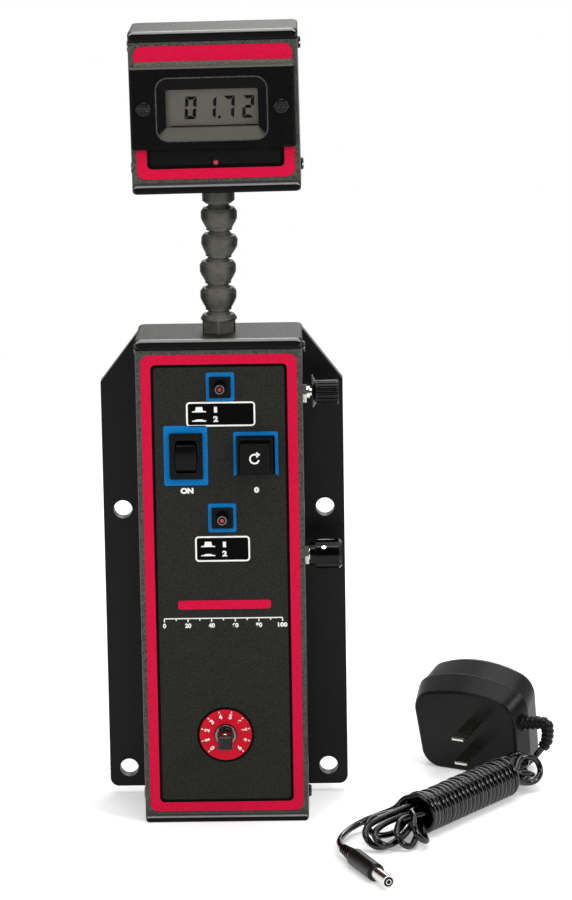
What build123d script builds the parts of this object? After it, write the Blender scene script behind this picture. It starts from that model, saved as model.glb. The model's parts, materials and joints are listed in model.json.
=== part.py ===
from build123d import *
from math import cos, radians, sin, sqrt, tan
import os

os.makedirs("parts", exist_ok=True)

# All sizes are in millimetres. The front faces -Y and the tester stands on z 0.

# Extruded boxes
box_width = 74.0
box_depth = 40.0
wall = 2.0
front_edge_radius = 1.2
back_edge_radius = 3.6
least_edge_radius = 0.3
base_height = 222.5
head_height = 71.6

# End caps and trim strips
cap_height = 4.8
base_foot_height = 2.8
head_foot_height = 3.9
cap_plate = 2.0
cap_rim = 3.6
cap_edge_radius = 1.4
cap_fit = 0.15
lug_width = 6.0
lug_depth = 14.0
lug_below_screw = 4.0
trim_width = 73.4
trim_seat = 1.6
trim_proud = 0.9
trim_end_share = 0.48
trim_nose_share = 0.3

# Printed overlays
overlay_width = 69.4
overlay_thickness = 0.5
overlay_radius = 3.8
overlay_gap = 0.6
overlay_recess = 0.6
base_overlay_bottom = 4.9
base_overlay_drop = 6.8
base_overlay_top = base_height - base_overlay_drop
head_overlay_bottom = 6.4
head_overlay_top = 65.3

# Cap screws
screw_radius = 1.5
screw_head_radius = 2.8
screw_head_height = 1.3
screw_length = 7.0
screw_dome_share = 0.7
slot_width = 0.8
slot_depth = 0.7
hole_clearance = 0.1
base_top_screw_inset = 7.9
base_foot_screw_inset = 7.6
head_top_screw_inset = 8.3
head_foot_screw_inset = 9.3

# Mounting plate
plate_width = 110.0
plate_bottom = 4.4
plate_drop = 3.2
plate_top = base_height - plate_drop
plate_thickness = 6.35
plate_chamfer_width = 18.0
plate_chamfer_height = 23.5
plate_corner_radius = 4.0
plate_hole_radius = 4.25
plate_hole_inset = 8.8
plate_hole_z = 13.2
plate_hole_pitch = 123.0
plate_screw_radius = 2.0
plate_screw_head_radius = 3.8
countersink_angle = 82.0
plate_screw_length = 14.0
plate_socket_radius = 1.4
plate_socket_depth = 1.6
plate_screw_spacing = 48.0
plate_lower_screw_z = 76.0
plate_upper_screw_drop = 20.5
plate_screw_heights = (plate_lower_screw_z, base_height - plate_upper_screw_drop)
plate_nut_flats = 7.0
plate_nut_thickness = 3.2

# Torque transducer and square drive
drive_z = 40.8
flange_size = 42.0
flange_thickness = 7.0
flange_corner_radius = 4.0
transducer_radius = 12.5
transducer_setback = 3.0
flange_screw_spacing = 32.0
flange_screw_length = 12.0
flange_screw_head_radius = 3.2
flange_screw_head_height = 2.4
sleeve_radius = 4.8
sleeve_bore_radius = 3.85
sleeve_bore_depth = 14.0
sleeve_proud = 1.4
sleeve_edge_radius = 0.3
drive_root_gap = 0.05
drive_root_reach = 2.2
drive_square = 6.35
drive_reach = 13.9
drive_corner_radius = 0.7
drive_tip_chamfer = 0.7
ball_radius = 1.4
ball_proud = 0.55
ball_setback = 4.4
ball_gap = 0.03
disc_radius = 11.75
disc_thickness = 0.3
disc_bore_radius = 5.1

# Rocker switch
rocker_x = -15.2
rocker_drop = 52.7
rocker_z = base_height - rocker_drop
rocker_flange_width = 14.8
rocker_flange_height = 20.8
rocker_flange_thickness = 1.8
rocker_flange_radius = 0.8
rocker_bezel_edge_radius = 0.5
rocker_body_width = 12.9
rocker_body_height = 19.0
rocker_body_depth = 14.0
rocker_width = 9.3
rocker_end_width = 8.0
rocker_length = 12.8
rocker_side_gap = 0.45
rocker_end_gap = 1.05
rocker_well_depth = 9.0
rocker_pivot_depth = 5.5
rocker_height = 7.2
rocker_crown_radius = 13.0
rocker_end_radius = 1.2
rocker_hub_depth = 2.0
rocker_tilt = 9.0
rocker_pin_radius = 1.0
rocker_pin_overhang = 0.8

# Reset switch
reset_x = 15.4
reset_drop = 52.3
reset_z = base_height - reset_drop
reset_flange = 16.0
reset_flange_height = 4.5
reset_well_depth = 4.3
reset_body = 13.8
reset_body_depth = 15.0
reset_key_taper = 1.0
reset_key_size = 13.3
reset_key_gap = 0.2
reset_key_reach = 9.4
reset_key_skirt = 2.7
reset_stem = 6.0
reset_stem_length = 8.0
reset_travel = 2.5
reset_bezel_edge_radius = 0.4
reset_edge_radius = 0.7

# Push buttons
button_x = 0.4
upper_button_drop = 21.7
lower_button_drop = 81.2
button_heights = (base_height - upper_button_drop, base_height - lower_button_drop)
button_flange = 9.2
button_flange_thickness = 1.1
button_bush_radius = 3.5
button_body = 8.4
button_body_depth = 16.0
button_radius = 2.7
button_gap = 0.06
button_reach = 5.2
button_length = 12.0
button_travel = 3.0
button_edge_radius = 0.4

# Side controls
upper_knob_drop = 28.6
lower_knob_drop = 103.2
upper_knob_z = base_height - upper_knob_drop
lower_knob_z = base_height - lower_knob_drop
pot_radius = 8.0
pot_depth = 8.5
pot_bush_radius = 3.2
pot_bush_reach = 3.2
pot_bore_depth = 5.0
shaft_radius = 2.0
shaft_gap = 0.03
knob_bore_end = 13.2
pot_nut_flats = 8.4
pot_nut_thickness = 1.7
skirt_start = 4.0
skirt_end = 6.0
skirt_radius = 8.2
skirt_edge = 0.5
upper_knob_radius = 5.6
upper_knob_end = 16.0
upper_knob_edge = 0.5
flute_radius = 0.5
flute_count = 20
lower_neck_start = 2.1
lower_neck_radius = 5.2
lower_body_start = 4.7
lower_knob_radius = 6.7
lower_knob_end = 16.5
lower_knob_chamfer = 1.2
lower_bush_gap = 0.3
lower_recess_depth = 1.6
set_screw_station = 8.4
set_screw_radius = 1.2
set_screw_sink = 0.8
set_screw_angle = 42.0
set_screw_socket = 0.6

# Main board and power inlet
board_width = 56.0
board_drop = 31.5
board_screw_gap = 11.0
board_bottom = plate_lower_screw_z + board_screw_gap
board_height = base_height - board_drop - board_bottom
board_z = board_bottom + board_height / 2
board_thickness = 1.6
post_height = 5.4
post_radius = 3.0
post_inset = 5.0
jack_z = 78.0
jack_radius = 4.0
jack_flange_radius = 5.4
jack_flange_thickness = 1.4
jack_length = 14.0
jack_bore_radius = 2.8
jack_bore_depth = 9.5
jack_pin_radius = 1.0
jack_nut_flats = 11.0
jack_nut_thickness = 2.0

# Ball-and-socket neck
first_ball_rise = 4.8
neck_pitch = 12.0
segment_leans = (0.0, 0.0, 4.3, 0.0)
head_roll = -0.64
collar_reach = 12.6
ball_joint_radius = 6.4
socket_gap = 0.05
neck_bore_radius = 3.0
ball_foot_radius = 4.2
ball_throat_radius = 4.5
waist_radius = 5.8
waist_start = 5.2
waist_length = 0.8
cup_radius = 8.1
cup_height = 2.8
mouth_radius = 7.0
mouth_rise = 3.1
cup_rim_height = 1.7
hex_radius = 8.4
hex_height = 5.6
collar_radius = 7.25
collar_taper = 1.2
spigot_radius = 6.4
spigot_length = 12.0
spigot_gap = 0.1
spigot_nut_flats = 18.0
spigot_nut_thickness = 4.0

# Panel meter
meter_x = -0.7
meter_z = 38.1
meter_width = 72.0
meter_height = 36.3
meter_proud = 3.0
meter_bevel = 0.8
meter_corner_radius = 1.0
meter_body_depth = 12.0
meter_body_wall = 1.5
meter_body_gap = 0.3
window_x = -0.3
window_z = -0.6
window_outer_width = 48.0
window_outer_height = 27.2
window_inner_width = 40.4
window_inner_height = 16.8
window_outer_radius = 5.0
window_inner_radius = 0.8
window_depth = 2.9
throat_depth = 1.1
lens_border = 1.4
lens_thickness = 1.0
lcd_thickness = 1.8
lcd_border = 2.8
lcd_side_gap = 2.2
lcd_end_gap = 2.5
meter_board_setback = 6.0
meter_board_gap = 0.1
meter_screw_inset = 3.3
meter_screw_head_radius = 3.4
meter_screw_head_height = 1.5
meter_screw_length = 7.0
lamp_z = 13.6
lamp_radius = 1.1
lamp_proud = 0.5
lamp_length = 5.0
lamp_dome_share = 0.8

# Mains adaptor
adaptor_x = 113.1
adaptor_y = 47.7
adaptor_turn = -29.0
adaptor_lean = 13.0
adaptor_front_width = 53.0
adaptor_front_top = 42.1
adaptor_front_shoulder = 37.2
adaptor_seam_width = 58.0
adaptor_seam_top = 46.6
adaptor_seam_shoulder = 39.7
adaptor_back_width = 54.2
adaptor_back_top = 49.2
adaptor_back_shoulder = 41.2
adaptor_seam = 10.1
adaptor_depth = 23.5
adaptor_tuck = 2.0
adaptor_top_radius = 11.0
adaptor_foot_radius = 9.0
adaptor_front_edge = 1.5
adaptor_back_edge = 2.5
adaptor_step = 0.5
blade_x = 4.6
blade_height = 20.8
blade_pitch = 12.7
blade_width = 6.3
blade_thickness = 1.5
blade_length = 17.0
blade_tip_chamfer = 0.4

# Cord, hank and plug
cord_radius = 1.45
relief_radius = 3.1
relief_gap = 0.1
relief_root = 4.0
relief_height = 26.5
relief_depth = 6.0
relief_points = ((147.3, 30.7, 29.0), (148.2, 31.6, 19.5), (145.9, 31.5, 16.6))
relief_bend = 5.5
lead_points = ((142.8, 31.36, 12.7), (139.3, 29.3, 10.2), (136.2, 25.4, 9.0))
tail_points = ((81.9, -38.9, 9.6), (76.4, -37.2, 10.8), (68.9, -37.0, 8.0), (61.3, -37.2, 5.0),
               (55.2, -43.0, 3.5), (51.4, -52.4, 3.3), (50.02, -65.8, 4.0))
arc_share = 0.45
hank_start = (85.2, -42.8, 8.6)
hank_end = (127.5, 11.8, 8.6)
hank_radius = 8.5
hank_left_loops = 31.0
hank_right_loops = 21.0
loop_root_radius = 7.2
loop_end_radius = 5.6
plug_start = (52.4, -71.3, 4.0)
plug_direction = (0.396, -0.918, 0.0)
plug_relief_length = 10.0
plug_relief_radius = 3.1
plug_rib_width = 1.2
plug_rib_depth = 0.7
plug_rib_count = 4
plug_body_length = 25.5
plug_body_radius = 4.0
plug_shoulder = 2.5
barrel_length = 12.0
barrel_radius = 2.75
barrel_bore_radius = 1.25
barrel_bore_depth = 8.0

# Reaches worked out from the sizes above
front = box_depth / 2
side = box_width / 2
overlay_face = front - overlay_recess + overlay_thickness
shell_top = base_height - cap_height
head_shell_top = head_height - cap_height
plate_screw_points = [(x * plate_screw_spacing / 2, z) for x in (-1, 1) for z in plate_screw_heights]
flange_screw_points = [(x * flange_screw_spacing / 2, drive_z + z * flange_screw_spacing / 2)
                       for x in (-1, 1) for z in (-1, 1)]


# Planes

def facing(unit: Plane, reach: float, x: float = 0.0, z: float = 0.0) -> Plane:
    """Upright plane that faces the viewer, this far in front of the unit's middle."""
    return Plane(origin=unit.from_local_coords((x, -reach, z)), x_dir=unit.x_dir, z_dir=-unit.y_dir)


def rearward(unit: Plane, reach: float, x: float = 0.0, z: float = 0.0) -> Plane:
    """Upright plane that faces away from the viewer, this far behind the unit's middle."""
    return Plane(origin=unit.from_local_coords((x, reach, z)), x_dir=-unit.x_dir, z_dir=unit.y_dir)


def sideways(unit: Plane, reach: float, z: float, outward: int) -> Plane:
    """Upright plane that faces out of the right side for 1 or the left side for -1."""
    return Plane(origin=unit.from_local_coords((outward * reach, 0, z)),
                 x_dir=unit.y_dir * outward, z_dir=unit.x_dir * outward)


def seat(unit: Plane, height: float, upward: int) -> Plane:
    """Level plane at this height, facing up for 1 or down for -1, with its front still -Y."""
    return Plane(origin=unit.from_local_coords((0, 0, height)),
                 x_dir=unit.x_dir * upward, z_dir=unit.z_dir * upward)


ground = Plane.XY
balls = [Vector(0, 0, base_height + first_ball_rise)]
for segment_lean in segment_leans:
    step = Vector(sin(radians(segment_lean)), 0, cos(radians(segment_lean))) * neck_pitch
    balls.append(balls[-1] + step)
head_axis = Vector(sin(radians(head_roll)), 0, cos(radians(head_roll)))
head = Plane(origin=balls[-1] + head_axis * collar_reach,
             x_dir=(cos(radians(head_roll)), 0, -sin(radians(head_roll))), z_dir=head_axis)
meter = facing(head, front, meter_x, meter_z)


# Shared shapes

def box_profile(inset: float = 0.0, mode: Mode = Mode.ADD):
    """Add the extrusion's outline, drawn in by inset, to the sketch being built."""
    with BuildSketch(mode=Mode.PRIVATE) as outline:
        Rectangle(box_width - 2 * inset, box_depth - 2 * inset)
        fillet(outline.vertices().group_by(Axis.Y)[-1], max(back_edge_radius - inset, least_edge_radius))
        fillet(outline.vertices().group_by(Axis.Y)[0], max(front_edge_radius - inset, least_edge_radius))
    add(outline.sketch, mode=mode)


def overlay_panel(bottom: float, top: float, gap: float = 0.0):
    """Add a printed panel's outline between two heights to the sketch being built."""
    with Locations((0, (bottom + top) / 2)):
        RectangleRounded(overlay_width + 2 * gap, top - bottom + 2 * gap, overlay_radius + gap)


def control_openings(clearance: float, mode: Mode = Mode.ADD):
    """Add the front's openings for switches, buttons and drive to the sketch being built."""
    with Locations((rocker_x, rocker_z)):
        Rectangle(rocker_body_width + 2 * clearance, rocker_body_height + 2 * clearance, mode=mode)
    with Locations((reset_x, reset_z)):
        Rectangle(reset_body + 2 * clearance, reset_body + 2 * clearance, mode=mode)
    with Locations(*[(button_x, height) for height in button_heights]):
        Circle(button_bush_radius + clearance, mode=mode)
    with Locations((0, drive_z)):
        Circle(sleeve_radius + clearance, mode=mode)


def end_cap(cap_seat: Plane, height: float, screw_inset: float, spigot_hole: bool) -> Part:
    """End cap whose rim stands on the shell, with a lug inside each side wall for its screw."""
    lug_length = screw_inset - height + lug_below_screw
    with BuildPart() as cap:
        with BuildSketch(cap_seat):
            box_profile()
        extrude(amount=height)
        outer = cap.faces().sort_by(Axis(cap_seat.origin, cap_seat.z_dir))[-1]
        fillet(outer.edges(), cap_edge_radius)
        with BuildSketch(cap_seat.offset(height - cap_plate)):
            box_profile(cap_rim)
        extrude(amount=-height, mode=Mode.SUBTRACT)
        with BuildSketch(cap_seat.offset(height - cap_plate)):
            with Locations((-side + wall + cap_fit + lug_width / 2, 0),
                           (side - wall - cap_fit - lug_width / 2, 0)):
                Rectangle(lug_width, lug_depth)
        extrude(amount=-(height - cap_plate + lug_length))
        with BuildSketch(facing(cap_seat, front - trim_seat, 0, height / 2)):
            Rectangle(2 * box_width, 2 * height)
        extrude(amount=2 * trim_seat, mode=Mode.SUBTRACT)
        for outward in (-1, 1):
            with Locations(sideways(cap_seat, side, height - screw_inset, outward)):
                Hole(screw_radius, depth=screw_length)
        if spigot_hole:
            with Locations(cap_seat.offset(height)):
                Hole(spigot_radius + spigot_gap, depth=2 * height)
    return cap.part


def trim_strip(cap_seat: Plane, height: float) -> Part:
    """Black bullnose strip along the front of a cap."""
    with BuildPart() as strip:
        with BuildSketch(facing(cap_seat, front - trim_seat, 0, height / 2)):
            RectangleRounded(trim_width, height, height * trim_end_share)
        extrude(amount=trim_seat + trim_proud)
        nose = strip.faces().sort_by(Axis(cap_seat.origin, -cap_seat.y_dir))[-1]
        fillet(nose.edges(), height * trim_nose_share)
    return strip.part


def slotted_screw(head_radius: float, head_height: float, length: float) -> Part:
    """Domed screw with its head on z 0, its shank below and one slot."""
    with BuildPart() as screw:
        Cylinder(head_radius, head_height, align=(Align.CENTER, Align.CENTER, Align.MIN))
        fillet(screw.edges().group_by(Axis.Z)[-1], head_height * screw_dome_share)
        with BuildSketch(Plane.XY.offset(head_height)):
            Rectangle(2 * head_radius, slot_width)
        extrude(amount=-slot_depth, mode=Mode.SUBTRACT)
        Cylinder(screw_radius, length, align=(Align.CENTER, Align.CENTER, Align.MAX))
    return screw.part


def hex_nut(flats: float, thickness: float, bore_radius: float) -> Part:
    """Hex nut that stands on z 0."""
    with BuildPart() as nut:
        with BuildSketch():
            RegularPolygon(flats / 2, 6, major_radius=False)
            Circle(bore_radius, mode=Mode.SUBTRACT)
        extrude(amount=thickness)
    return nut.part


def shell(unit: Plane, bottom: float, top: float, overlay_bottom: float, overlay_top: float,
          screw_heights: tuple) -> Part:
    """Extruded box with open ends, its overlay recess and its four cap screw holes."""
    with BuildPart() as box:
        with BuildSketch(unit.offset(bottom)):
            box_profile()
            box_profile(wall, mode=Mode.SUBTRACT)
        extrude(amount=top - bottom)
        with BuildSketch(facing(unit, front - overlay_recess)):
            overlay_panel(overlay_bottom, overlay_top, overlay_gap)
        extrude(amount=2 * overlay_recess, mode=Mode.SUBTRACT)
        for outward in (-1, 1):
            for height in screw_heights:
                with Locations(sideways(unit, side, height, outward)):
                    Hole(screw_radius + hole_clearance, depth=2 * wall)
    return box.part


# Base shell with its caps, trims and screws

base_screw_heights = (base_foot_screw_inset, base_height - base_top_screw_inset)
base_box = shell(ground, base_foot_height, shell_top, base_overlay_bottom, base_overlay_top,
                 base_screw_heights)
with BuildPart() as base_shell:
    add(base_box)
    with BuildSketch(facing(ground, front)):
        control_openings(hole_clearance)
    extrude(amount=-2 * wall, mode=Mode.SUBTRACT)
    for knob_z in (upper_knob_z, lower_knob_z):
        with Locations(sideways(ground, side, knob_z, 1)):
            Hole(pot_bush_radius + hole_clearance, depth=2 * wall)
    with Locations(sideways(ground, side, jack_z, -1)):
        Hole(jack_radius + hole_clearance, depth=2 * wall)
    for x, z in plate_screw_points:
        with Locations(rearward(ground, front, x, z)):
            Hole(plate_screw_radius + hole_clearance, depth=2 * wall)
    for x, z in flange_screw_points:
        with Locations(rearward(ground, front, x, z)):
            Hole(screw_radius + hole_clearance, depth=2 * wall)
base_shell.part.label = "base_shell"
export_step(base_shell.part, "parts/base_shell.step")

base_top_seat = seat(ground, shell_top, 1)
base_foot_seat = seat(ground, base_foot_height, -1)

with BuildPart() as base_top_cap:
    add(end_cap(base_top_seat, cap_height, base_top_screw_inset, True))
base_top_cap.part.label = "base_top_cap"
export_step(base_top_cap.part, "parts/base_top_cap.step")

with BuildPart() as base_foot_cap:
    add(end_cap(base_foot_seat, base_foot_height, base_foot_screw_inset, False))
base_foot_cap.part.label = "base_foot_cap"
export_step(base_foot_cap.part, "parts/base_foot_cap.step")

with BuildPart() as base_trims:
    add(trim_strip(base_top_seat, cap_height))
    add(trim_strip(base_foot_seat, base_foot_height))
base_trims.part.label = "base_trims"
export_step(base_trims.part, "parts/base_trims.step")

with BuildPart() as base_cap_screws:
    for height in base_screw_heights:
        with Locations(sideways(ground, side, height, 1), sideways(ground, side, height, -1)):
            add(slotted_screw(screw_head_radius, screw_head_height, screw_length))
base_cap_screws.part.label = "base_cap_screws"
export_step(base_cap_screws.part, "parts/base_cap_screws.step")

with BuildPart() as base_overlay:
    with BuildSketch(facing(ground, front - overlay_recess)):
        overlay_panel(base_overlay_bottom, base_overlay_top)
        control_openings(hole_clearance, Mode.SUBTRACT)
    extrude(amount=overlay_thickness)
base_overlay.part.label = "base_overlay"
export_step(base_overlay.part, "parts/base_overlay.step")

# Mounting plate with its countersunk screws and nuts

countersink_depth = (plate_screw_head_radius - plate_screw_radius) / tan(radians(countersink_angle / 2))

with BuildPart() as mounting_plate:
    with BuildSketch(facing(ground, -front - plate_thickness)) as plate_outline:
        with BuildLine():
            half = Polyline((0, plate_bottom), (plate_width / 2, plate_bottom),
                            (plate_width / 2, plate_top - plate_chamfer_height),
                            (plate_width / 2 - plate_chamfer_width, plate_top), (0, plate_top))
            mirror(half, about=Plane.YZ)
        make_face()
        corners = plate_outline.vertices().group_by(Axis.Y)[0].filter_by(
            lambda corner: abs(corner.X) > plate_width / 4)
        fillet(corners, plate_corner_radius)
        with Locations((0, plate_hole_z + plate_hole_pitch / 2)):
            with GridLocations(plate_width - 2 * plate_hole_inset, plate_hole_pitch, 2, 2):
                Circle(plate_hole_radius, mode=Mode.SUBTRACT)
    extrude(amount=plate_thickness)
    for x, z in plate_screw_points:
        with Locations(rearward(ground, front + plate_thickness, x, z)):
            CounterSinkHole(plate_screw_radius + hole_clearance,
                            plate_screw_head_radius + hole_clearance,
                            counter_sink_angle=countersink_angle)
    for x, z in flange_screw_points:
        with Locations(facing(ground, -front, x, z)):
            Hole(screw_radius + hole_clearance, depth=flange_screw_length - flange_thickness)
mounting_plate.part.label = "mounting_plate"
export_step(mounting_plate.part, "parts/mounting_plate.step")

with BuildPart() as plate_screw:
    Cylinder(plate_screw_radius, plate_screw_length, align=(Align.CENTER, Align.CENTER, Align.MAX))
    Cone(plate_screw_radius, plate_screw_head_radius, countersink_depth,
         align=(Align.CENTER, Align.CENTER, Align.MAX))
    with BuildSketch():
        RegularPolygon(plate_socket_radius, 6)
    extrude(amount=-plate_socket_depth, mode=Mode.SUBTRACT)

with BuildPart() as plate_screws:
    with Locations(*[rearward(ground, front + plate_thickness, x, z) for x, z in plate_screw_points]):
        add(plate_screw.part)
plate_screws.part.label = "plate_screws"
export_step(plate_screws.part, "parts/plate_screws.step")

with BuildPart() as plate_nuts:
    with Locations(*[facing(ground, wall - front, x, z) for x, z in plate_screw_points]):
        add(hex_nut(plate_nut_flats, plate_nut_thickness, plate_screw_radius))
plate_nuts.part.label = "plate_nuts"
export_step(plate_nuts.part, "parts/plate_nuts.step")

# Torque transducer with its square drive

back_wall = front - wall
flange_front = back_wall - flange_thickness

with BuildPart() as torque_transducer:
    with BuildSketch(facing(ground, -back_wall, 0, drive_z)):
        RectangleRounded(flange_size, flange_size, flange_corner_radius)
        with GridLocations(flange_screw_spacing, flange_screw_spacing, 2, 2):
            Circle(screw_radius + hole_clearance, mode=Mode.SUBTRACT)
    extrude(amount=flange_thickness)
    with BuildSketch(facing(ground, -flange_front, 0, drive_z)):
        Circle(transducer_radius)
    extrude(amount=flange_front + front - wall - transducer_setback)
    with BuildSketch(facing(ground, front - wall - transducer_setback, 0, drive_z)):
        Circle(sleeve_radius)
    extrude(amount=wall + transducer_setback + sleeve_proud)
    fillet(torque_transducer.edges().group_by(Axis.Y)[0], sleeve_edge_radius)
    with Locations(facing(ground, front + sleeve_proud, 0, drive_z)):
        Hole(sleeve_bore_radius, depth=sleeve_bore_depth)
torque_transducer.part.label = "torque_transducer"
export_step(torque_transducer.part, "parts/torque_transducer.step")

with BuildPart() as transducer_screws:
    with Locations(*[facing(ground, -flange_front, x, z) for x, z in flange_screw_points]):
        add(slotted_screw(flange_screw_head_radius, flange_screw_head_height, flange_screw_length))
transducer_screws.part.label = "transducer_screws"
export_step(transducer_screws.part, "parts/transducer_screws.step")

ball_z = drive_square / 2 + ball_proud - ball_radius
ball_reach = front + drive_reach - ball_setback

with BuildPart() as drive_square_post:
    with BuildSketch(facing(ground, front + sleeve_proud - sleeve_bore_depth, 0, drive_z)):
        Circle(sleeve_bore_radius - drive_root_gap)
    extrude(amount=sleeve_bore_depth - sleeve_proud + drive_root_reach)
    with BuildSketch(facing(ground, front + drive_root_reach, 0, drive_z)):
        RectangleRounded(drive_square, drive_square, drive_corner_radius)
    extrude(amount=drive_reach - drive_root_reach)
    chamfer(drive_square_post.faces().sort_by(Axis.Y)[0].edges(), drive_tip_chamfer)
    with Locations(Plane(origin=(0, -ball_reach, drive_z + drive_square / 2), z_dir=(0, 0, 1))):
        Hole(ball_radius + ball_gap, depth=drive_square / 2 - ball_z + ball_radius)
drive_square_post.part.label = "drive_square"
export_step(drive_square_post.part, "parts/drive_square.step")

with BuildPart() as detent_ball:
    with Locations((0, -ball_reach, drive_z + ball_z)):
        Sphere(ball_radius)
detent_ball.part.label = "detent_ball"
export_step(detent_ball.part, "parts/detent_ball.step")

with BuildPart() as drive_disc:
    with BuildSketch(facing(ground, overlay_face, 0, drive_z)):
        Circle(disc_radius)
        Circle(disc_bore_radius, mode=Mode.SUBTRACT)
    extrude(amount=disc_thickness)
drive_disc.part.label = "drive_disc"
export_step(drive_disc.part, "parts/drive_disc.step")

# Rocker switch

rocker_flange_front = overlay_face + rocker_flange_thickness
rocker_pivot = facing(ground, rocker_flange_front - rocker_pivot_depth, rocker_x, rocker_z)
rocker_plane = Plane(origin=rocker_pivot.origin, x_dir=(1, 0, 0),
                     z_dir=(0, -cos(radians(rocker_tilt)), -sin(radians(rocker_tilt))))
rocker_side = Plane(origin=rocker_pivot.origin, x_dir=rocker_plane.z_dir, z_dir=(1, 0, 0))


def barrel(width: float, end_width: float, length: float):
    """Add an upright outline with bowed sides to the sketch being built."""
    with BuildSketch(mode=Mode.PRIVATE) as outline:
        with BuildLine():
            bow = ThreePointArc((end_width / 2, -length / 2), (width / 2, 0), (end_width / 2, length / 2))
            mirror(bow, about=Plane.YZ)
            Line((-end_width / 2, -length / 2), (end_width / 2, -length / 2))
            Line((-end_width / 2, length / 2), (end_width / 2, length / 2))
        make_face()
    add(outline.sketch)


with BuildPart() as rocker_bezel:
    with BuildSketch(facing(ground, overlay_face, rocker_x, rocker_z)):
        RectangleRounded(rocker_flange_width, rocker_flange_height, rocker_flange_radius)
    extrude(amount=rocker_flange_thickness)
    fillet(rocker_bezel.faces().sort_by(Axis.Y)[0].edges(), rocker_bezel_edge_radius)
    with BuildSketch(facing(ground, overlay_face, rocker_x, rocker_z)):
        Rectangle(rocker_body_width, rocker_body_height)
    extrude(amount=-rocker_body_depth)
    with BuildSketch(facing(ground, rocker_flange_front, rocker_x, rocker_z)):
        barrel(rocker_width + 2 * rocker_side_gap, rocker_end_width + 2 * rocker_side_gap,
               rocker_length + 2 * rocker_end_gap)
    extrude(amount=-rocker_well_depth, mode=Mode.SUBTRACT)
    with BuildSketch(Plane.YZ.offset(rocker_x - rocker_width / 2 - rocker_side_gap - rocker_pin_overhang)):
        with Locations((rocker_pivot.origin.Y, rocker_z)):
            Circle(rocker_pin_radius + shaft_gap)
    extrude(amount=rocker_width + 2 * rocker_side_gap + 2 * rocker_pin_overhang, mode=Mode.SUBTRACT)
rocker_bezel.part.label = "rocker_bezel"
export_step(rocker_bezel.part, "parts/rocker_bezel.step")

with BuildPart() as power_rocker:
    with BuildSketch(rocker_side) as rocker_profile:
        with BuildLine():
            crown_end = rocker_height - rocker_crown_radius + sqrt(
                rocker_crown_radius ** 2 - rocker_length ** 2 / 4)
            crown = ThreePointArc((crown_end, -rocker_length / 2), (rocker_height, 0),
                                  (crown_end, rocker_length / 2))
            Polyline(crown @ 1, (0, rocker_length / 2), (-rocker_hub_depth, 0),
                     (0, -rocker_length / 2), crown @ 0)
        make_face()
        fillet(rocker_profile.vertices().group_by(Axis.X)[-1], rocker_end_radius)
    extrude(amount=rocker_width, both=True)
    with BuildSketch(rocker_plane):
        barrel(rocker_width, rocker_end_width, rocker_length)
    extrude(amount=rocker_height + rocker_hub_depth, both=True, mode=Mode.INTERSECT)
    with BuildSketch(rocker_side):
        Circle(rocker_pin_radius)
    extrude(amount=rocker_width / 2 + rocker_side_gap + rocker_pin_overhang - shaft_gap, both=True)
power_rocker.part.label = "power_rocker"
export_step(power_rocker.part, "parts/power_rocker.step")

# Reset switch

reset_well_floor = overlay_face + reset_flange_height - reset_well_depth
reset_key_back = reset_well_floor + reset_key_skirt

with BuildPart() as reset_bezel:
    with BuildSketch(facing(ground, overlay_face, reset_x, reset_z)):
        RectangleRounded(reset_flange, reset_flange, reset_edge_radius)
    extrude(amount=reset_flange_height)
    fillet(reset_bezel.faces().sort_by(Axis.Y)[0].edges(), reset_bezel_edge_radius)
    with BuildSketch(facing(ground, overlay_face, reset_x, reset_z)):
        Rectangle(reset_body, reset_body)
    extrude(amount=-reset_body_depth)
    with BuildSketch(facing(ground, overlay_face + reset_flange_height, reset_x, reset_z)):
        Rectangle(reset_key_size + 2 * reset_key_gap, reset_key_size + 2 * reset_key_gap)
    extrude(amount=-reset_well_depth, mode=Mode.SUBTRACT)
    with BuildSketch(facing(ground, reset_well_floor, reset_x, reset_z)):
        Rectangle(reset_stem + 2 * reset_key_gap, reset_stem + 2 * reset_key_gap)
    extrude(amount=-(reset_stem_length + reset_key_gap), mode=Mode.SUBTRACT)
reset_bezel.part.label = "reset_bezel"
export_step(reset_bezel.part, "parts/reset_bezel.step")

with BuildPart() as reset_key:
    with BuildSketch(facing(ground, reset_key_back, reset_x, reset_z)):
        RectangleRounded(reset_key_size, reset_key_size, reset_edge_radius)
    extrude(amount=overlay_face + reset_key_reach - reset_key_back, taper=reset_key_taper)
    fillet(reset_key.faces().sort_by(Axis.Y)[0].edges(), reset_edge_radius)
    with BuildSketch(facing(ground, reset_key_back, reset_x, reset_z)):
        Rectangle(reset_stem, reset_stem)
    extrude(amount=-(reset_stem_length - reset_travel + reset_key_back - reset_well_floor))
reset_key.part.label = "reset_key"
export_step(reset_key.part, "parts/reset_key.step")

# Push buttons

button_front = overlay_face + button_flange_thickness
button_bore_depth = button_length + button_travel + button_gap - (button_reach - button_flange_thickness)

with BuildPart() as button_bezels:
    for button_z in button_heights:
        with BuildSketch(facing(ground, overlay_face, button_x, button_z)):
            RectangleRounded(button_flange, button_flange, button_edge_radius)
        extrude(amount=button_flange_thickness)
        with BuildSketch(facing(ground, overlay_face, button_x, button_z)):
            Circle(button_bush_radius)
        extrude(amount=-(wall + overlay_face - front + overlay_recess))
        with BuildSketch(facing(ground, front - wall, button_x, button_z)):
            Rectangle(button_body, button_body)
        extrude(amount=-button_body_depth)
        with Locations(facing(ground, button_front, button_x, button_z)):
            Hole(button_radius + button_gap, depth=button_bore_depth)
button_bezels.part.label = "button_bezels"
export_step(button_bezels.part, "parts/button_bezels.step")


def push_button(height: float) -> Part:
    """Round plunger of a push button at this height."""
    with BuildPart() as plunger:
        with BuildSketch(facing(ground, overlay_face + button_reach, button_x, height)):
            Circle(button_radius)
        extrude(amount=-button_length)
        fillet(plunger.edges().group_by(Axis.Y)[0], button_edge_radius)
    return plunger.part


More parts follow.
